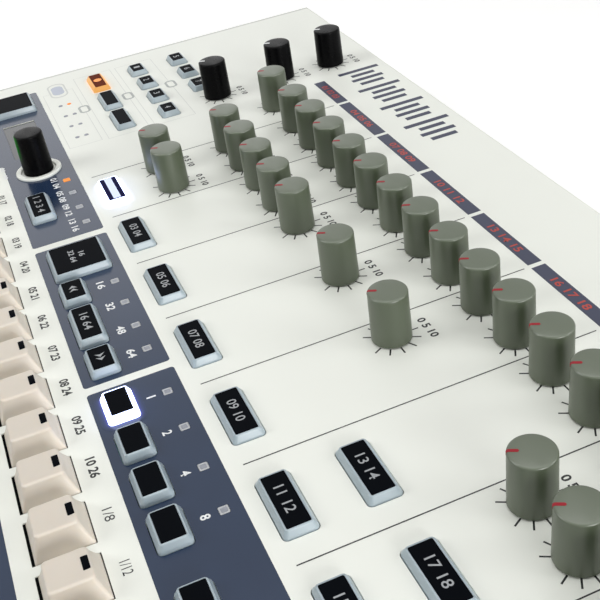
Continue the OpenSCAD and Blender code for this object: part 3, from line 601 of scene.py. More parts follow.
def finish(name, colour, rough, grain, depth, drift=0.03, patch=40, **principled):
    """A finish with grain of the given size and depth in millimetres, and a slow drift of its colour."""
    known = bpy.data.materials.get(name)
    if known:
        return known
    material = bpy.data.materials.new(name)
    material.use_nodes = True
    tree = material.node_tree
    tree.nodes.clear()
    place = add(tree, "ShaderNodeTexCoord").outputs["Object"]
    fine = add(tree, "ShaderNodeTexNoise", {"Vector": place, "Scale": 1 / (grain * MM), "Detail": 3.0,
                                            "Roughness": 0.6})
    slow = add(tree, "ShaderNodeTexNoise", {"Vector": place, "Scale": 1 / (patch * MM), "Detail": 2.0})
    bump = add(tree, "ShaderNodeBump", {"Strength": 1.0, "Distance": depth * MM, "Height": fine})
    shades = add(tree, "ShaderNodeValToRGB", {"Fac": slow})
    for stop, position, share in zip(shades.color_ramp.elements, (NEAR, FAR), (1 - drift, 1 + drift)):
        stop.position = position
        stop.color = (*[min(1, c * share) for c in colour[:3]], 1)
    gloss = ramped(tree, fine, NEAR, FAR, rough - GLOSS_DRIFT, rough + GLOSS_DRIFT)
    sockets = {key.replace("_", " "): value for key, value in principled.items()}
    shader = add(tree, "ShaderNodeBsdfPrincipled", {"Base Color": shades, "Roughness": gloss, "Normal": bump,
                                                    **sockets})
    add(tree, "ShaderNodeOutputMaterial", {"Surface": shader})
    return material


def moulded_abs():
    """Moulded ABS with spark-eroded grain: satin, faintly mottled, with painted shade where it rounds over
    the ends.
    """
    material = finish("moulded_abs_cover", colours().cover, COVER_ROUGH, 0.35, 0.012, 0.012, 60, IOR=1.54)
    tree, end = material.node_tree, case().width / 2
    shade_start, shade_end, end_share = end - 5.0 * MM, end - 3.4 * MM, 0.64
    shader = tree.nodes["Principled BSDF"]
    even = shader.inputs["Base Color"].links[0].from_socket
    place = tree.nodes["Texture Coordinate"].outputs["Object"]
    across = add(tree, "ShaderNodeSeparateXYZ", {"Vector": place}).outputs["X"]
    # Painted shade: the colour is scaled down to end_share over the last few millimetres of each end
    shade = ramped(tree, maths(tree, "ABSOLUTE", across), shade_start, shade_end, 1.0, end_share)
    painted_end_shade = add(tree, "ShaderNodeVectorMath", {"Vector": even, "Scale": shade}, operation="SCALE")
    tree.links.new(painted_end_shade.outputs[0], shader.inputs["Base Color"])
    return material


def ink(name, colour=None, rough=0.5):
    """Screen-printed epoxy ink: a thin flat coat that takes the grain of the plastic under it."""
    tone = colour or getattr(colours(), name)
    return finish("screen_print_" + name, tone, rough, 0.3, 0.006, 0.03, 25, IOR=1.5)


def field_ink():
    """Screen-printed epoxy ink, laid on thick: dark navy, with a sheen in which the caps show."""
    return finish("screen_print_slate", colours().slate, FIELD_ROUGH, 0.5, 0.0015, 0.06, 25, IOR=FIELD_IOR)


def satin_nylon():
    """Glass-filled nylon knob: satin, with a soft broad highlight along its side."""
    return finish("satin_nylon_olive", colours().olive, 0.35, 0.25, 0.004, 0.02, 15, IOR=1.53,
                  Specular_IOR_Level=0.75)


def pointer_paint():
    """Red paint filled into the knob's groove."""
    return finish("filled_paint_red", colours().pointer, 0.5, 0.3, 0.01, 0.03, 6, Specular_IOR_Level=0.3)


def polished_abs(name="smooth_abs_black", **light):
    """Smooth black ABS: deep black, with soft dim reflections."""
    return finish(name, colours().encoder, 0.3, 1.2, 0.001, 0.05, 15, Specular_IOR_Level=0.06, **light)


def display_glint():
    """The same black ABS on the encoder, with a painted green glint on its side towards the front left,
    standing in for the display's light mirrored there.
    """
    material = polished_abs("smooth_abs_black_glint", Emission_Color=colours().digit)
    tree = material.node_tree
    # Painted reflection: green emission on the side that faces towards, strongest on the upper part of the
    # side
    towards, strength = (-0.35, -0.94, 0.0), 0.19
    panel = case().front + row_of("encoder") * math.sin(case().slope)
    normal = add(tree, "ShaderNodeNewGeometry").outputs["Normal"]
    facing = add(tree, "ShaderNodeVectorMath", {0: normal, 1: towards}, operation="DOT_PRODUCT")
    side = ramped(tree, facing.outputs["Value"], 0.5, 0.98, 0.0, strength, interpolation_type="SMOOTHSTEP")
    place = tree.nodes["Texture Coordinate"].outputs["Object"]
    height = add(tree, "ShaderNodeSeparateXYZ", {"Vector": place}).outputs["Z"]
    lift = ramped(tree, height, panel + 5 * MM, panel + 13 * MM, interpolation_type="SMOOTHSTEP")
    glow = maths(tree, "MULTIPLY", side, lift)
    tree.links.new(glow.outputs[0], tree.nodes["Principled BSDF"].inputs["Emission Strength"])
    return material


def ivory_abs():
    """Ivory ABS keycap: smooth satin, with light that softens its edges."""
    return finish("moulded_abs_ivory", colours().ivory, 0.42, 0.3, 0.006, 0.015, 12, IOR=1.54,
                  Subsurface_Weight=0.35, Subsurface_Radius=(1.0, 0.8, 0.6), Subsurface_Scale=0.0016)


def milky_polycarbonate():
    """Milky polycarbonate: the light enters it a little, and its edge shines."""
    return finish("milky_polycarbonate", colours().button, 0.32, 0.6, 0.002, 0.02, 10, IOR=1.58,
                  Subsurface_Weight=0.2, Subsurface_Radius=(0.7, 0.9, 1.0), Subsurface_Scale=0.001)


# Lamps that are on: colour and strength of their light
LIT = {"white": ("lamp_white", 4.5), "stripe": ("lamp_stripe", 0.9), "cream": ("lamp_cream", 0.85),
       "amber": ("lamp_amber", 0.9), "green": ("digit", 4.0)}


def lit_polycarbonate(name):
    """The same polycarbonate with its lamp on: it shows the lamp's colour and little of the room's light."""
    colour, strength = getattr(colours(), LIT[name][0]), LIT[name][1]
    body = (*[0.25 * part for part in colour[:3]], 1)
    return finish("lit_polycarbonate_" + name, body, 0.35, 0.6, 0.002, 0.02, 10, IOR=1.58,
                  Specular_IOR_Level=0.2, Emission_Color=colour, Emission_Strength=strength)


def glowing_print(name, ground, light, share):
    """Print or plastic with painted light: emission that stands in for stray light from the gap beside it."""
    rough = FIELD_ROUGH if ground == "slate" else COVER_ROUGH
    return finish("lit_ground_" + name, getattr(colours(), ground), rough, 0.5, 0.0015, 0.03, 25,
                  IOR=FIELD_IOR, Emission_Color=light, Emission_Strength=share)


def printed_film(name, colour):
    """Matt film printed on a button: it swallows nearly all light."""
    return finish("matt_printed_film_" + name, colour, 0.5, 0.4, 0.002, 0.1, 8, Specular_IOR_Level=0.02)


def smoked_acrylic():
    """Smoked acrylic over the display: dark, glossy, with the room in it."""
    return finish("smoked_acrylic", linear("#2c3033"), 0.12, 1.5, 0.001, 0.06, 20, IOR=1.49)


def frosted_acrylic():
    """Frosted acrylic light pipe, unlit: its rim catches the light."""
    return finish("frosted_acrylic", linear("#b2b4b6"), 0.38, 0.35, 0.02, 0.06, 2, IOR=1.49)


def smoky_acrylic():
    """The face of an unlit light pipe, through which the dark inside shows."""
    return finish("smoky_acrylic", colours().lamp_off, 0.3, 0.4, 0.01, 0.12, 1, IOR=1.49)


def background_rays(tree):
    """1 for the rays that see the background, straight or through gloss and glass, else 0."""
    path = add(tree, "ShaderNodeLightPath").outputs
    mirrored = maths(tree, "ADD", path["Is Camera Ray"], path["Is Glossy Ray"])
    return maths(tree, "ADD", mirrored, path["Is Transmission Ray"])


def pale_table():
    """Pale matt laminate; the rays that see it get it nearly white, and its shadows stay."""
    material = finish("pale_matt_laminate", linear("#f2f2f0"), 0.7, 1.0, 0.001, 0.0, 100,
                      Emission_Color=(1, 1, 1, 1))
    tree, brightening = material.node_tree, 0.3
    lift = maths(tree, "MULTIPLY", background_rays(tree), brightening)
    tree.links.new(lift.outputs[0], tree.nodes["Principled BSDF"].inputs["Emission Strength"])
    return material


def powder_coat(name, code):
    """Powder-coated sheet steel: fine orange peel."""
    return finish("powder_coated_steel_" + name, linear(code), 0.5, 0.9, 0.03, 0.03, 30)


def zinc_plate():
    """Zinc-plated steel: bright, faintly blue, with a brushed mottle."""
    return finish("zinc_plated_steel", linear("#b9bec4"), 0.32, 0.4, 0.006, 0.08, 4, Metallic=1.0)


def nickel_plate():
    """Nickel-plated brass nuts and contacts: bright, faintly warm."""
    return finish("nickel_plated_brass", linear("#c8c4ba"), 0.24, 0.5, 0.004, 0.05, 5, Metallic=1.0)


def moulded_rubber():
    """Matt rubber feet: nearly black, dull."""
    return finish("moulded_rubber", linear("#1c1c1d"), 0.75, 0.5, 0.03, 0.05, 8)


def foam_rubber():
    """Matt black sheet round the keys: painted shade that stands in for the dark in the gaps of the slots."""
    return finish("foam_rubber_black", linear("#08090a"), 0.9, 0.3, 0.01, 0.1, 4, Specular_IOR_Level=0.05)


def socket_nylon():
    """Black glass-filled nylon of the sockets: dull, with a fine grain."""
    return finish("glass_filled_nylon", linear("#19191b"), 0.5, 0.3, 0.015, 0.05, 10)


def solder_mask():
    """Green solder mask on fibreglass board: glossy, with a fine mottle."""
    return finish("solder_mask", linear("#17563a"), 0.35, 0.8, 0.01, 0.25, 3)


def tinned_steel():
    """Tinned steel cans of the potentiometers and switches: soft grey metal."""
    return finish("tinned_steel", linear("#9a9c9e"), 0.38, 0.4, 0.01, 0.08, 5, Metallic=0.9)


# ---- shapes -----------------------------------------------------------------

def pointer_line(foot, top, height, rim, width, floor):
    """Line on a knob, from half-way out over its rim, towards +X; floor is its height over the cap."""
    sunk, tail = -0.25 * MM, 0.5 * MM      # underside below the cap's skin, and length down its side
    stations = [(top * 0.50 + k * width / 8, height, 0.0, math.sqrt(1 - (1 - k / 4) ** 2))
                for k in range(5)]
    stations += [(top - rim, height, 0.0, 1.0)]
    for k in range(1, 7):
        a = math.radians(90 * k / 6)
        stations.append((top - rim + rim * math.sin(a), height - rim + rim * math.cos(a), a, 1.0))
    stations.append((top + 0.02 * MM, height - rim - tail, math.pi / 2, 0.8))
    rings = []
    for r, z, a, share in stations:
        half = width / 2 * max(share, 0.15)
        rings.append([(r + math.sin(a) * d, side * half, z + math.cos(a) * d)
                      for side, d in ((-1, sunk), (-1, floor), (1, floor), (1, sunk))])
    return loft("pointer", rings)


def key_cap():
    """Step key: flared, slightly concave flanks, a soft edge round its top and a dished top."""
    k = controls()
    foot, crown, edge, tall = k.key_foot, k.key_crown, k.key_edge, k.key_height
    (front, rear), (front_set, rear_set) = in_mm(KEY_ENDS), in_mm(KEY_SLANTS)
    hollow = 1.25          # power of the flanks' curve
    foot_corner, more_at_top, least_corner = in_mm((0.5, 0.9, 0.25))

    def ring(z, flare, inset=0.0):
        low = front + front_set * (1 - flare) + inset
        high = rear - rear_set * (1 - flare) - inset
        corner = max(foot_corner + more_at_top * (1 - flare) - 0.3 * inset, least_corner)
        width = crown + (foot - crown) * flare - 2 * inset
        return raised(box_ring(width, high - low, corner, (0, (low + high) / 2)), z)

    rings = [ring(-3 * MM, 1), ring(-0.3 * MM, 1)]
    for t in (0, 0.05, 0.1, 0.17, 0.25, 0.35, 0.45, 0.56, 0.67, 0.78, 0.89):
        rings.append(ring(t * (tall - edge), (1 - t) ** hollow))
    for turn in range(0, 91, 15):
        a = math.radians(turn)
        rings.append(ring(tall - edge * (1 - math.sin(a)), 0, edge * (1 - math.cos(a))))
    for dip, inset in ((0.01, 0.35), (0.05, 1.6), (0.09, 3.4)):
        rings.append(ring(tall - dip * MM, 0, edge + inset * MM))
    return loft("key_cap", rings)


def stacked(name, width, length, corner, levels, base=0.0, middle=(0, 0)):
    """Loft of box rings in millimetres; each level is an inset from both sizes and a height over the base."""
    return loft(name, [raised(mm_ring(width - inset, length - inset, corner, middle), base + z * MM)
                       for inset, z in levels])


def key_window():
    """Black lamp window in the rear of a key's top face."""
    width, length, middle = KEY_WINDOW
    return stacked("key_window", width, length, 0.3, ((0, -1.2), (0, -0.02), (0.16, 0.03)),
                   controls().key_height, (0, middle * MM))


def button_rim_shape(kind):
    """Milky cap of a button: sloping sides, a rounded edge and a shallow seat for its plate."""
    plate_w, plate_l, rim_x, rim_v, tall = in_mm(BUTTONS[kind])
    slope_x, slope_v = rim_x - controls().button_flat, rim_v - controls().button_flat
    round_off, shoulder = 0.35 * MM, 0.72      # rounding of the edge, and share of the slope below it

    def ring(z, share, corner):
        """Outline at a height; share is how much of the slope it has gone up, from 0 to 1."""
        return raised(box_ring(plate_w + 2 * (rim_x - share * slope_x),
                               plate_l + 2 * (rim_v - share * slope_v), corner * MM), z)

    start = tall - 2.1 * MM
    rings = [ring(-2.8 * MM, 0, 1.5), ring(start, 0, 1.5), ring(start + 0.25 * MM, 0.05, 1.5),
             ring(tall - round_off, shoulder, 1.25)]
    for turn in (30, 60, 90):
        s, c = math.sin(math.radians(turn)), math.cos(math.radians(turn))
        rings.append(ring(tall - round_off * (1 - s), shoulder + (1 - shoulder) * (1 - c), 1.1))
    for grow, sink in in_mm((0.3, 0)), in_mm((0.12, 0)), in_mm((0.06, 0.3)):
        rings.append(raised(box_ring(plate_w + 2 * grow, plate_l + 2 * grow, 0.5 * MM), tall - sink))
    return loft("button_rim", rings)


def button_plate_shape(kind):
    """Plate of a button, just proud of its rim."""
    width, length, _, _, tall = BUTTONS[kind]
    return stacked("button_plate", width, length, 0.4, ((0, -0.6), (0, 0.08), (0.14, 0.15), (0.6, 0.15)),
                   tall * MM)


def button_outline(kind, n, row, grow, corner):
    """Ring round a button's foot, in millimetres wider and longer than it by grow."""
    plate_w, plate_l, rim_x, rim_v, _ = BUTTONS[kind]
    return mm_ring(plate_w + 2 * rim_x + grow, plate_l + 2 * rim_v + grow, corner, (column(n), row))


def arrowheads(x, y, height, way, material):
    """Two filled arrowheads with hollowed backs, pointing along way."""
    long, half, notch = in_mm((2.0, 1.75, 0.6))
    rings = []
    for tip in (x + way * 0.1 * MM, x + way * 2.2 * MM):
        back = tip - way * long
        rings.append([(tip, y), (back, y + half), (back + way * notch, y), (back, y - half)])
    return inked(rings, height, material)


def digit_bars(x, y):
    """Outlines of the seven bars of a digit with its middle at x and y."""
    (w, h), b, slit = (side * MM / 2 for side in DIGIT_SIZE), DIGIT_BAR * MM / 2, DIGIT_SLIT * MM

    def flat(up):
        left, right, v = x - w + b + slit, x + w - b - slit, y + up
        return [(left, v), (left + b, v - b), (right - b, v - b), (right, v), (right - b, v + b),
                (left + b, v + b)]

    def tall(across, low, high):
        u, low, high = x + across, y + low + b + slit, y + high - b - slit
        return [(u, low), (u + b, low + b), (u + b, high - b), (u, high), (u - b, high - b), (u - b, low + b)]

    return [flat(h - b), tall(w - b, 0, h), tall(w - b, -h, 0), flat(b - h), tall(b - w, -h, 0),
            tall(b - w, 0, h), flat(0)]


# ---- operators --------------------------------------------------------------

class DRUM_OT_case(bpy.types.Operator):
    """Gives the cover, pan, rear panel, feet, screws and inner parts their finishes"""
    bl_idname = "drum.case"
    bl_label = "Case"

    def execute(self, context):
        finishes = {"top_cover": moulded_abs(), "bottom_pan": powder_coat("grey", "#8b8e90"),
                    "rear_panel": powder_coat("black", "#26272a"), "feet": moulded_rubber(),
                    "case_screws": zinc_plate(), "circuit_boards": solder_mask(),
                    "pots_and_switches": tinned_steel(), "rear_sockets": socket_nylon()}
        for node, material in finishes.items():
            fitted(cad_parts[node].data, material)
        return {"FINISHED"}


class DRUM_OT_knobs(bpy.types.Operator):
    """Makes the knobs with their red pointer lines"""
    bl_idname = "drum.knobs"
    bl_label = "Knobs"

    def execute(self, context):
        k = controls()
        form = {"Foot_Radius": k.knob_foot, "Top_Radius": k.knob_top, "Height": k.knob_height,
                "Rim": k.knob_rim, "Dish": k.knob_dish, "Gap": k.knob_gap, "Sides": CAP_SIDES}
        line = pointer_line(k.knob_foot, k.knob_top, k.knob_height, k.knob_rim, k.pointer_width, 0.04 * MM)
        line.transform(Matrix.Rotation(LOWER_STOP, 4, "Z"))
        olive, red, black, white = satin_nylon(), pointer_paint(), polished_abs(), ink("white")

        def caps(places, material, marks):
            points = [at(n, v) for n, v in places]
            cap = shaded(grown(turned_cap_tree, points, material, **form))
            return [cap, set_out(line, points, marks)]

        for node, n, row in moving_knobs():
            piece(node + "_cap", caps([(n, row)], olive, red), node + "_body", [node])
        piece("far_knob_caps", caps(fixed_knobs(), olive, red), "case", ["far_knobs"])
        piece("master_knob_caps", caps(master_knobs(), black, white), "case", ["far_knobs"])
        return {"FINISHED"}


class DRUM_OT_encoder(bpy.types.Operator):
    """Makes the black encoder knob"""
    bl_idname = "drum.encoder"
    bl_label = "Encoder"

    def execute(self, context):
        k = controls()
        cap = grown(turned_cap_tree, [at(ENCODER_COLUMN, row_of("encoder"))], display_glint(),
                    Foot_Radius=k.encoder_foot, Top_Radius=k.encoder_top, Height=k.encoder_height,
                    Rim=k.knob_rim, Dish=3 * k.knob_dish, Gap=k.knob_gap, Sides=CAP_SIDES)
        piece("data_encoder_cap", [shaded(cap)], "data_encoder_body", ["data_encoder"])
        return {"FINISHED"}


class DRUM_OT_step_keys(bpy.types.Operator):
    """Makes the step keys and the transport keys"""
    bl_idname = "drum.step_keys"
    bl_label = "Step Keys"

    def execute(self, context):
        cap, window, row = key_cap(), key_window(), case().key_row

        def keys(points):
            return [shaded(set_out(cap, points, ivory_abs())),
                    set_out(window, points, printed_film("black", colours().plate))]

        for i in MOVING_KEYS:
            piece(f"step_key_{i}_cap", keys([(key_column(i), row, 0)]), f"step_key_{i}_body",
                  [f"step_key_{i}"])
        rest = [(key_column(i), row, 0) for i in STEP_KEYS if i not in MOVING_KEYS]
        rest += [at(n, row) for n in TRANSPORT_KEYS]
        piece("far_step_key_caps", keys(rest), "case", ["far_step_keys"])

        # Painted shade in the slots: a black sheet from each slot's wall to just clear of the key's foot
        (wide, long), (front, rear), gap = in_mm(KEY_SLOT), in_mm(KEY_ENDS), SLOT_SHADE_GAP * MM
        strips = []
        for x in [key_column(i) for i in STEP_KEYS] + [column(n) for n in TRANSPORT_KEYS]:
            strips += [box_ring(wide, long, 0.2 * MM, (x, row)),
                       box_ring(controls().key_foot + 2 * gap, rear - front + 2 * gap, 0.5 * MM,
                                (x, row + (front + rear) / 2))]
        piece("key_foam", [inked(strips, -SLOT_SHADE_SINK * MM, foam_rubber())], "case")
        return {"FINISHED"}


class DRUM_OT_buttons(bpy.types.Operator):
    """Makes the push buttons, their black plates and the marks on them"""
    bl_idname = "drum.buttons"
    bl_label = "Buttons"

    def execute(self, context):
        rims = {kind: button_rim_shape(kind) for kind in BUTTONS}
        plates = {kind: button_plate_shape(kind) for kind in BUTTONS}
        legend, milky = ink("legend", rough=0.4), milky_polycarbonate()
        black = printed_film("black", colours().plate)
        white, stripe, cream, amber = map(lit_polycarbonate, ("white", "stripe", "cream", "amber"))

        def face(kind):
            return (BUTTONS[kind][4] + PLATE_TOP) * MM

        def button(kind, n, row, caption, rim=milky, plate=black):
            parts = [set_out(rims[kind], [at(n, row)], rim), set_out(plates[kind], [at(n, row)], plate)]
            if caption in ARROWS:
                parts.append(arrowheads(column(n), row, face(kind), ARROWS[caption], legend))
            elif caption:
                parts.append(numerals([(caption, at(n, row, face(kind)), 3.2, 2.15 * len(caption))],
                                      legend, 0.005))
            return parts

        for node, kind, n, row, caption in moving_buttons():
            if node == "trigger_button_1":
                # Lit button: its plate is tinted navy, painted light of the lamp behind the film
                parts = button(kind, n, row, "", white, printed_film("navy", linear("#0c0c38")))
                parts.append(grown(printed_bars_tree, [at(n, row, face(kind))], stripe,
                                   sizes=[in_mm((20.2, 3.2))]))
            else:
                parts = button(kind, n, row, caption, white if node == "select_button_1" else milky)
            if node == "scroll_button":
                lines = (("16", 1.9, 3.6), ("32 64", -1.9, 9.5))
                parts.append(numerals([(text, at(n, row + up * MM, face(kind)), 2.4, width)
                                       for text, up, width in lines], legend, 0.02))
            piece(node + "_cap", parts, node + "_body", [node])

        parts = []
        for kind, n, row, caption in fixed_buttons():
            if (kind, n) == ("group", GROUP_BUTTONS[0]):
                # Lit button: its plate is tinted brown, painted light of the amber lamp behind the film
                parts += button(kind, n, row, "", cream, printed_film("brown", linear("#5e240c")))
                parts.append(inked([mm_ring(4.4, 4.4, 2.15, (column(n), row))], face(kind), amber))
            else:
                parts += button(kind, n, row, caption)
        piece("far_button_caps", parts, "case", ["far_buttons"])
        return {"FINISHED"}


class DRUM_OT_lamps(bpy.types.Operator):
    """Makes the lamp windows and the display"""
    bl_idname = "drum.lamps"
    bl_label = "Lamps and Display"

    def execute(self, context):
        c, side = case(), controls().lamp / MM
        levels = ((0, -2.5), (0, 0.1), (0.2, 0.2), (0.8, 0.2), (1.0, 0.08))
        lens = stacked("lamp_lens", side, side, 0.4, levels)
        pupil = stacked("lamp_pupil", side - 1.05, side - 1.05, 0.25, ((0, 0.0), (0, 0.1)))
        dot = loft("dot_lens", [raised(mm_ring(2 * r, 2 * r, r * 0.98), z * MM)
                                for r, z in ((1.1, -2.5), (1.1, 0.0), (1.0, 0.15), (0.6, 0.3))])
        frosted, smoky, amber = frosted_acrylic(), smoky_acrylic(), lit_polycarbonate("amber")
        dots = [at(n, c.trigger_row + s * 2.3 * MM) for n in DOTS for s in (-1, 1)]
        off = [at(n, c.lamp_row) for n in LAMPS[1:]]
        lens_piece("lamp_windows", [set_out(lens, off, frosted), set_out(pupil, off, smoky),
                                    set_out(dot, dots[:1] + dots[2:], smoky)])
        lens_piece("lit_lamps", [set_out(lens, [at(LAMPS[0], c.lamp_row)], amber),
                                 set_out(dot, dots[1:2], amber)])

        sink, middle = -DISPLAY_SINK * MM, (column(DISPLAY_COLUMN), row_of("display"))
        window = stacked("display", *DISPLAY, 0.5, ((0, -2), (0, 0)), sink, middle)
        lens_piece("display_window", [fitted(window, smoked_acrylic())])
        lit, unlit = [], []
        for place, digit in enumerate("1200"):
            x = middle[0] + (FIRST_DIGIT + DIGIT_STEP * place) * MM
            for segment, ring in enumerate(digit_bars(x, middle[1])):
                (lit if segment in DIGITS[digit] else unlit).append(ring)
        glow, dark = lit_polycarbonate("green"), ink("unlit", linear("#2c2c38"), 0.3)
        lens_piece("display_digits", [inked(lit, sink + PROUD, glow)])
        lens_piece("display_digits_off", [inked(unlit, sink + PROUD, dark)])
        return {"FINISHED"}


# Printing. Corners, rows and frames are in knob spacings: columns, and rows behind the rear row of knobs
LEFT_FIELD = ((1.80, -6.32), (1.80, -4.89), (-6.27, -4.89), (-6.27, -8.95), (15.55, -8.95), (15.55, -7.95),
              (-2.3, -7.95), (-2.3, -6.32))
PLAIN_FIELDS = [((b, -6.32), (b, -4.89), (a, -4.89), (a, -6.32)) for a, b in ((2.0, 6.65), (6.83, 15.55))]
STRIP_ENDS = [(-1.95, -0.55)] + [(2 * i - 0.45, 2 * i + 1.45) for i in range(8)]
STRIP_ROW, STRIP_WIDTH = 1.355, 0.27
# Left, right, front and rear of each frame, and the place of the ring on its rear edge, which is open there
FRAMES = ((-5.84, -2.26, -4.77, -4.0, -4.3), (-6.45, -2.2, -3.85, -2.86, -4.36),
          (-6.45, -2.2, -2.72, -1.73, -4.36))
RING_HALF = 0.19
MEDALLION = (-5.96, -4.37)
BAR_LENGTHS = (1.05, 0.6, 0.8, 0.6)
KEY_NUMBER_ROW, LAMP_NUMBER_ROW, MODE_NUMBER_ROW, DIAL_NUMBER_ROW = -6.57, -5.41, -5.405, -6.35
MODE_NUMBERS = (("01 04", -0.74), ("05 08", -0.04), ("09 12", 0.63), ("13 16", 1.34))
LAMP_NUMBERS = (("16", 5), ("32", 5), ("48", 5), ("64", 5), ("1", 0.75), ("2", 1.9), ("4", 2.1), ("8", 2))
# Painted light round a lit button, standing in for light leaking from its gap: widths of the glowing rings in
# millimetres and their strengths
LEAK_STEPS = (0.1, 0.7, 1.4, 2.2, 3.2, 4.6)
LEAK_SHARES = (0.55, 0.26, 0.12, 0.05, 0.02)


class DRUM_OT_printing(bpy.types.Operator):
    """Prints the dark fields, strips, lines, scales and numbers on the panel"""
    bl_idname = "drum.printing"
    bl_label = "Printing"

    def execute(self, context):
        self.dark_fields()
        self.strips()
        self.lines_and_frames()
        self.light_leaks()
        self.numbers()
        return {"FINISHED"}

    def dark_fields(self):
        """Dark fields, open where buttons, lamps, keys and the display come through."""
        c = case()
        rings = [rounded_ring([(column(n), field_row(y)) for n, y in corners], 1.2 * MM)
                 for corners in (LEFT_FIELD, *PLAIN_FIELDS)]
        buttons = [spot[1:4] for spot in moving_buttons()] + [spot[:3] for spot in fixed_buttons()]
        rings += [button_outline(*spot, 0.6, 1.8) for spot in buttons if spot[2] < c.lamp_row]
        rings += [mm_ring(3.2, 3.2, 0.4, (column(n), c.lamp_row)) for n in LAMPS]
        wide, long = DISPLAY
        rings += [mm_ring(wide + 0.2, long + 0.2, 0.3, (column(DISPLAY_COLUMN), row_of("display"))),
                  mm_ring(21.2, 21.2, 10.5, (column(ENCODER_COLUMN), row_of("encoder")), 12)]
        rings += [mm_ring(*KEY_SLOT, 0.2, (column(n), c.key_row)) for n in TRANSPORT_KEYS]
        printed("dark_fields", [inked(rings, PROUD, field_ink())])

    def strips(self):
        """Strips behind the knobs, with their numbers."""
        pitch, v = case().pitch, field_row(STRIP_ROW)
        strips = grown(printed_bars_tree, [at((a + b) / 2, v, PROUD) for a, b in STRIP_ENDS], ink("strip"),
                       sizes=[((b - a) * pitch, STRIP_WIDTH * pitch) for a, b in STRIP_ENDS])
        marks = []
        for i, (a, b) in enumerate(STRIP_ENDS):
            text = " ".join(f"{3 * i + k:02d}" for k in (1, 2, 3))
            marks.append((text, at((a + b) / 2, v, 2 * PROUD), 3.2, 21 if i else 17))
        printed("strips", [strips, numerals(marks, ink("red"), 0.02)])

    def lines_and_frames(self):
        """Section lines, the frames and rings at the upper left and the plain bars at the upper middle."""
        pitch, low, high = case().pitch, field_row(-4.64), field_row(1.12)
        lines = [at(n, (low + high) / 2, PROUD) for n in SECTIONS]
        printed("section_lines", [grown(printed_bars_tree, lines, ink("black"),
                                        sizes=[(0.46 * MM, high - low)] * len(lines))])

        places, sizes, rings = [], [], []
        for x0, x1, front, rear, n in FRAMES:
            for a, b, v0, v1 in ((x0, x0, front, rear), (x1, x1, front, rear), (x0, x1, front, front),
                                 (x0, n - RING_HALF, rear, rear), (n + RING_HALF, x1, rear, rear)):
                places.append(at((a + b) / 2, field_row((v0 + v1) / 2), PROUD))
                sizes.append(((b - a) * pitch + 0.25 * MM, (v1 - v0) * pitch + 0.25 * MM))
            middle = (column(n), field_row(rear))
            rings += [mm_ring(9.6, 5.8, 2.4, middle, 8), mm_ring(7.2, 3.4, 1.3, middle, 8)]
        middle = (column(MEDALLION[0]), field_row(MEDALLION[1]))
        outer, inner, oval = (box_ring(w * pitch, l * pitch, r * pitch, middle, 8) for w, l, r in
                              ((0.99, 0.46, 0.22), (0.88, 0.38, 0.18), (0.6, 0.3, 0.14)))
        printed("thin_frames", [grown(printed_bars_tree, places, ink("pale"), sizes=sizes),
                                inked([outer, inner], 2 * PROUD, ink("pale")),
                                inked([oval], 2 * PROUD, ink("pale_blue", linear("#b9bfcc"))),
                                inked(rings, 2 * PROUD, ink("grey"))])

        bars = [at(-2.0 + 0.27 * i + 0.1 * (i // 4), field_row(2.42), PROUD) for i in range(16)]
        lengths = [(0.14 * pitch, BAR_LENGTHS[i % 4] * pitch) for i in range(16)]
        printed("plain_bars", [grown(printed_bars_tree, bars, ink("strip"), sizes=lengths)])

    def light_leaks(self):
        """Painted light: glowing rings round each lit button that stand in for light leaking from its gap,
        fading outwards.
        """
        c = case()
        # Each lit button, the ground round it and the colour of the painted glow on that ground
        for kind, n, row, ground, colour in (
                ("trigger", TRIGGERS[0], c.trigger_row, "cover", linear("#cfcbff")),
                ("small", SELECTS[0], c.button_row, "slate", colours().lamp_leak),
                ("group", GROUP_BUTTONS[0], row_of("group"), "cover", linear("#b86a2c"))):
            for i, share in enumerate(LEAK_SHARES):
                leak = [button_outline(kind, n, row, grow, 1.5 + grow / 2) for grow in LEAK_STEPS[i:i + 2]]
                glow = glowing_print(f"{kind}_{i}", ground, colour, share)
                printed(f"light_leak_{kind}_{i}", [inked(leak, 3 * PROUD, glow)])

    def numbers(self):
        """Scales and small numbers round the knobs, and the numbers of the keys and lamps."""
        k, pitch, black = controls(), case().pitch, ink("black")
        knobs = [(n, row) for _, n, row in moving_knobs()] + fixed_knobs() + master_knobs()
        scales = grown(scale_lines_tree, [at(n, row, PROUD) for n, row in knobs], black,
                       Radius=k.tick_start, Length=k.tick_length, Width=k.tick_width, Count=k.tick_count,
                       Start=LOWER_STOP, Sweep=SWEEP)

        def by_key(i):
            return (key_column(i), field_row(KEY_NUMBER_ROW), PROUD)

        small = [("0 5 10", at(n + 0.07, row + 0.6 * pitch, PROUD), 3.0, 11.5) for n, row in knobs]
        small += [(f"{i:02d} {i + 16:02d}", by_key(i), 3.2, 9.2) for i in range(1, 11)]
        parts = [(f"1/{count}", by_key(i), 3.0, 5.2) for i, count in enumerate((8, 12, 16, 24, 32, 48), 11)]
        printed("scales", [scales, numerals(small, black, 0.03), numerals(parts, black)])

        counts = [(text, at(n, field_row(LAMP_NUMBER_ROW), 2 * PROUD), 3.1, width)
                  for (text, width), n in zip(LAMP_NUMBERS, LAMPS[4:])]
        counts += [(text, at(n, field_row(MODE_NUMBER_ROW), 2 * PROUD), 3, 11.2) for text, n in MODE_NUMBERS]
        counts += [("00 - 99", at(-1.95, field_row(DIAL_NUMBER_ROW), 2 * PROUD), 2.1, 13)]
        printed("white_numbers", [numerals(counts, ink("white"), 0.025)])


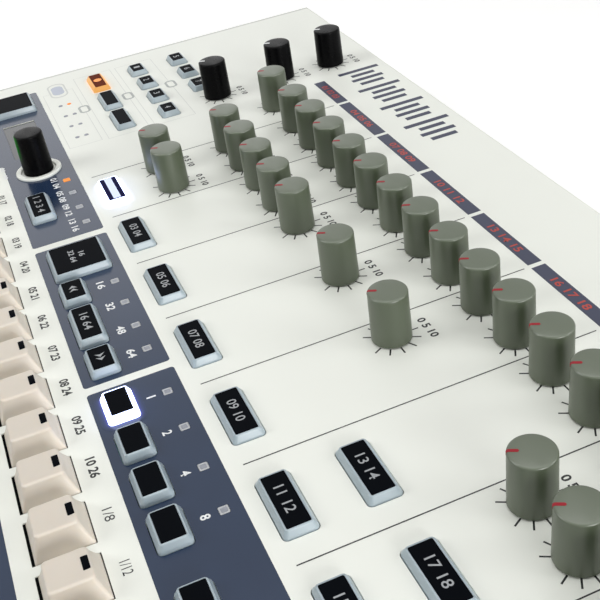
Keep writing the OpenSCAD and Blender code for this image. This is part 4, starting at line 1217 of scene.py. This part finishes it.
class DRUM_OT_rear(bpy.types.Operator):
    """Adds the metal of the rear sockets: the nuts and lips of the jacks"""
    bl_idname = "drum.rear"
    bl_label = "Rear Sockets"

    def execute(self, context):
        face = Matrix.Translation((0, case().depth / 2 - REAR_RECESS * MM, 0))
        nut, lip = lathed("nut", JACK_NUT, 6), lathed("lip", JACK_LIP, 48)
        points, nickel = [(x * MM, -JACK_HEIGHT * MM, 0) for x in JACKS], nickel_plate()
        piece("jack_nuts", [set_out(nut, points, nickel), shaded(set_out(lip, points, nickel))], "case",
              plane=face @ Matrix.Rotation(math.radians(-90), 4, "X"))
        return {"FINISHED"}


# Square lamps: name, place, side in metres and power in watts; each faces the origin
STUDIO_LAMPS = (("overhead", (0.0, -0.1, 1.25), 1.3, 10.2), ("front", (-0.3, -1.3, 0.7), 0.7, 8.0),
                ("rear_right", (0.85, 1.1, 0.8), 0.7, 7.2), ("right_side", (1.45, 0.2, 0.35), 0.7, 14.5),
                ("left_side", (-1.5, 0.05, 0.6), 0.9, 1.7))
SKY = 0.04                 # strength of the world's own light
FLOOR_HALF = 4
# Camera, in the panel's plane: its axes, and its place as a column, a row and a height in knob spacings
CAMERA_RIGHT = Vector((0.37202817, 0.91878989, -0.13198555))
CAMERA_DOWN = Vector((0.49384371, -0.31631711, -0.80997647))
CAMERA_AHEAD = Vector((-0.78594747, 0.23615383, -0.57141748))
CAMERA_PLACE = (19.684, -6.507, 9.742)
CAMERA_LENS, CAMERA_SENSOR, CAMERA_SHIFT = 60.65, 36, 1 / 600


class DRUM_OT_stage(bpy.types.Operator):
    """Sets up the floor, the soft light and the camera"""
    bl_idname = "drum.stage"
    bl_label = "Stage"

    def execute(self, context):
        scene, f = context.scene, FLOOR_HALF
        mesh = bpy.data.meshes.new("floor")
        mesh.from_pydata([(-f, -f, 0), (f, -f, 0), (f, f, 0), (-f, f, 0)], [], [(0, 1, 2, 3)])
        floor = bpy.data.objects.new("floor", fitted(mesh, pale_table()))
        scene.collection.objects.link(floor)

        scene.world = bpy.data.worlds.new("studio")
        scene.world.use_nodes = True
        tree = scene.world.node_tree
        tree.nodes.clear()
        seen = background_rays(tree)
        pure = add(tree, "ShaderNodeBackground", {"Color": (1, 1, 1, 1), "Strength": 1.0})
        soft = add(tree, "ShaderNodeBackground", {"Color": (0.98, 0.99, 1, 1), "Strength": SKY})
        both = add(tree, "ShaderNodeMixShader", {0: seen, 1: soft, 2: pure})
        add(tree, "ShaderNodeOutputWorld", {"Surface": both})

        for name, place, width, power in STUDIO_LAMPS:
            lamp = bpy.data.lights.new(name, "AREA")
            lamp.size, lamp.energy = width, power
            thing = bpy.data.objects.new(name, lamp)
            thing.visible_camera = False
            scene.collection.objects.link(thing)
            thing.location = place
            thing.rotation_mode = "QUATERNION"
            thing.rotation_quaternion = (-Vector(place)).to_track_quat("-Z", "Y")

        camera = bpy.data.cameras.new("camera")
        camera.lens, camera.sensor_width, camera.sensor_fit = CAMERA_LENS, CAMERA_SENSOR, "HORIZONTAL"
        camera.clip_start, camera.clip_end = 0.01, 20
        camera.shift_y = CAMERA_SHIFT
        thing = bpy.data.objects.new("camera", camera)
        scene.collection.objects.link(thing)
        turn = Matrix((CAMERA_RIGHT, -CAMERA_DOWN, -CAMERA_AHEAD)).transposed().to_4x4()
        n, y, height = CAMERA_PLACE
        spot = Matrix.Translation(at(n, field_row(y), height * case().pitch))
        thing.matrix_world = panel_plane() @ spot @ turn
        scene.camera = thing
        scene.view_settings.view_transform = "Standard"
        return {"FINISHED"}


OPERATORS = (DRUM_OT_case, DRUM_OT_knobs, DRUM_OT_encoder, DRUM_OT_step_keys, DRUM_OT_buttons,
             DRUM_OT_lamps, DRUM_OT_printing, DRUM_OT_rear, DRUM_OT_stage)


class DRUM_PT_panel(bpy.types.Panel):
    """Lists the pieces of the drum machine with their sizes and colours"""
    bl_idname = "DRUM_PT_panel"
    bl_label = "Drum Machine"
    bl_space_type = "VIEW_3D"
    bl_region_type = "UI"
    bl_category = "Drum Machine"

    def draw(self, context):
        for operator in OPERATORS:
            self.layout.operator(operator.bl_idname)
        for holder in (case(), controls(), colours()):
            box = self.layout.box()
            for key in holder.__class__.__annotations__:
                box.prop(holder, key)


def register():
    for cls in (*HOLDERS.values(), *OPERATORS, DRUM_PT_panel):
        bpy.utils.register_class(cls)
    for name, cls in HOLDERS.items():
        setattr(bpy.types.Scene, name, PointerProperty(type=cls))


def unregister():
    for name in HOLDERS:
        delattr(bpy.types.Scene, name)
    for cls in (DRUM_PT_panel, *reversed(OPERATORS), *HOLDERS.values()):
        bpy.utils.unregister_class(cls)


def main():
    register()
    bpy.ops.drum.case()
    bpy.ops.drum.knobs()
    bpy.ops.drum.encoder()
    bpy.ops.drum.step_keys()
    bpy.ops.drum.buttons()
    bpy.ops.drum.lamps()
    bpy.ops.drum.printing()
    bpy.ops.drum.rear()
    bpy.ops.drum.stage()


if __name__ == "__main__":
    main()
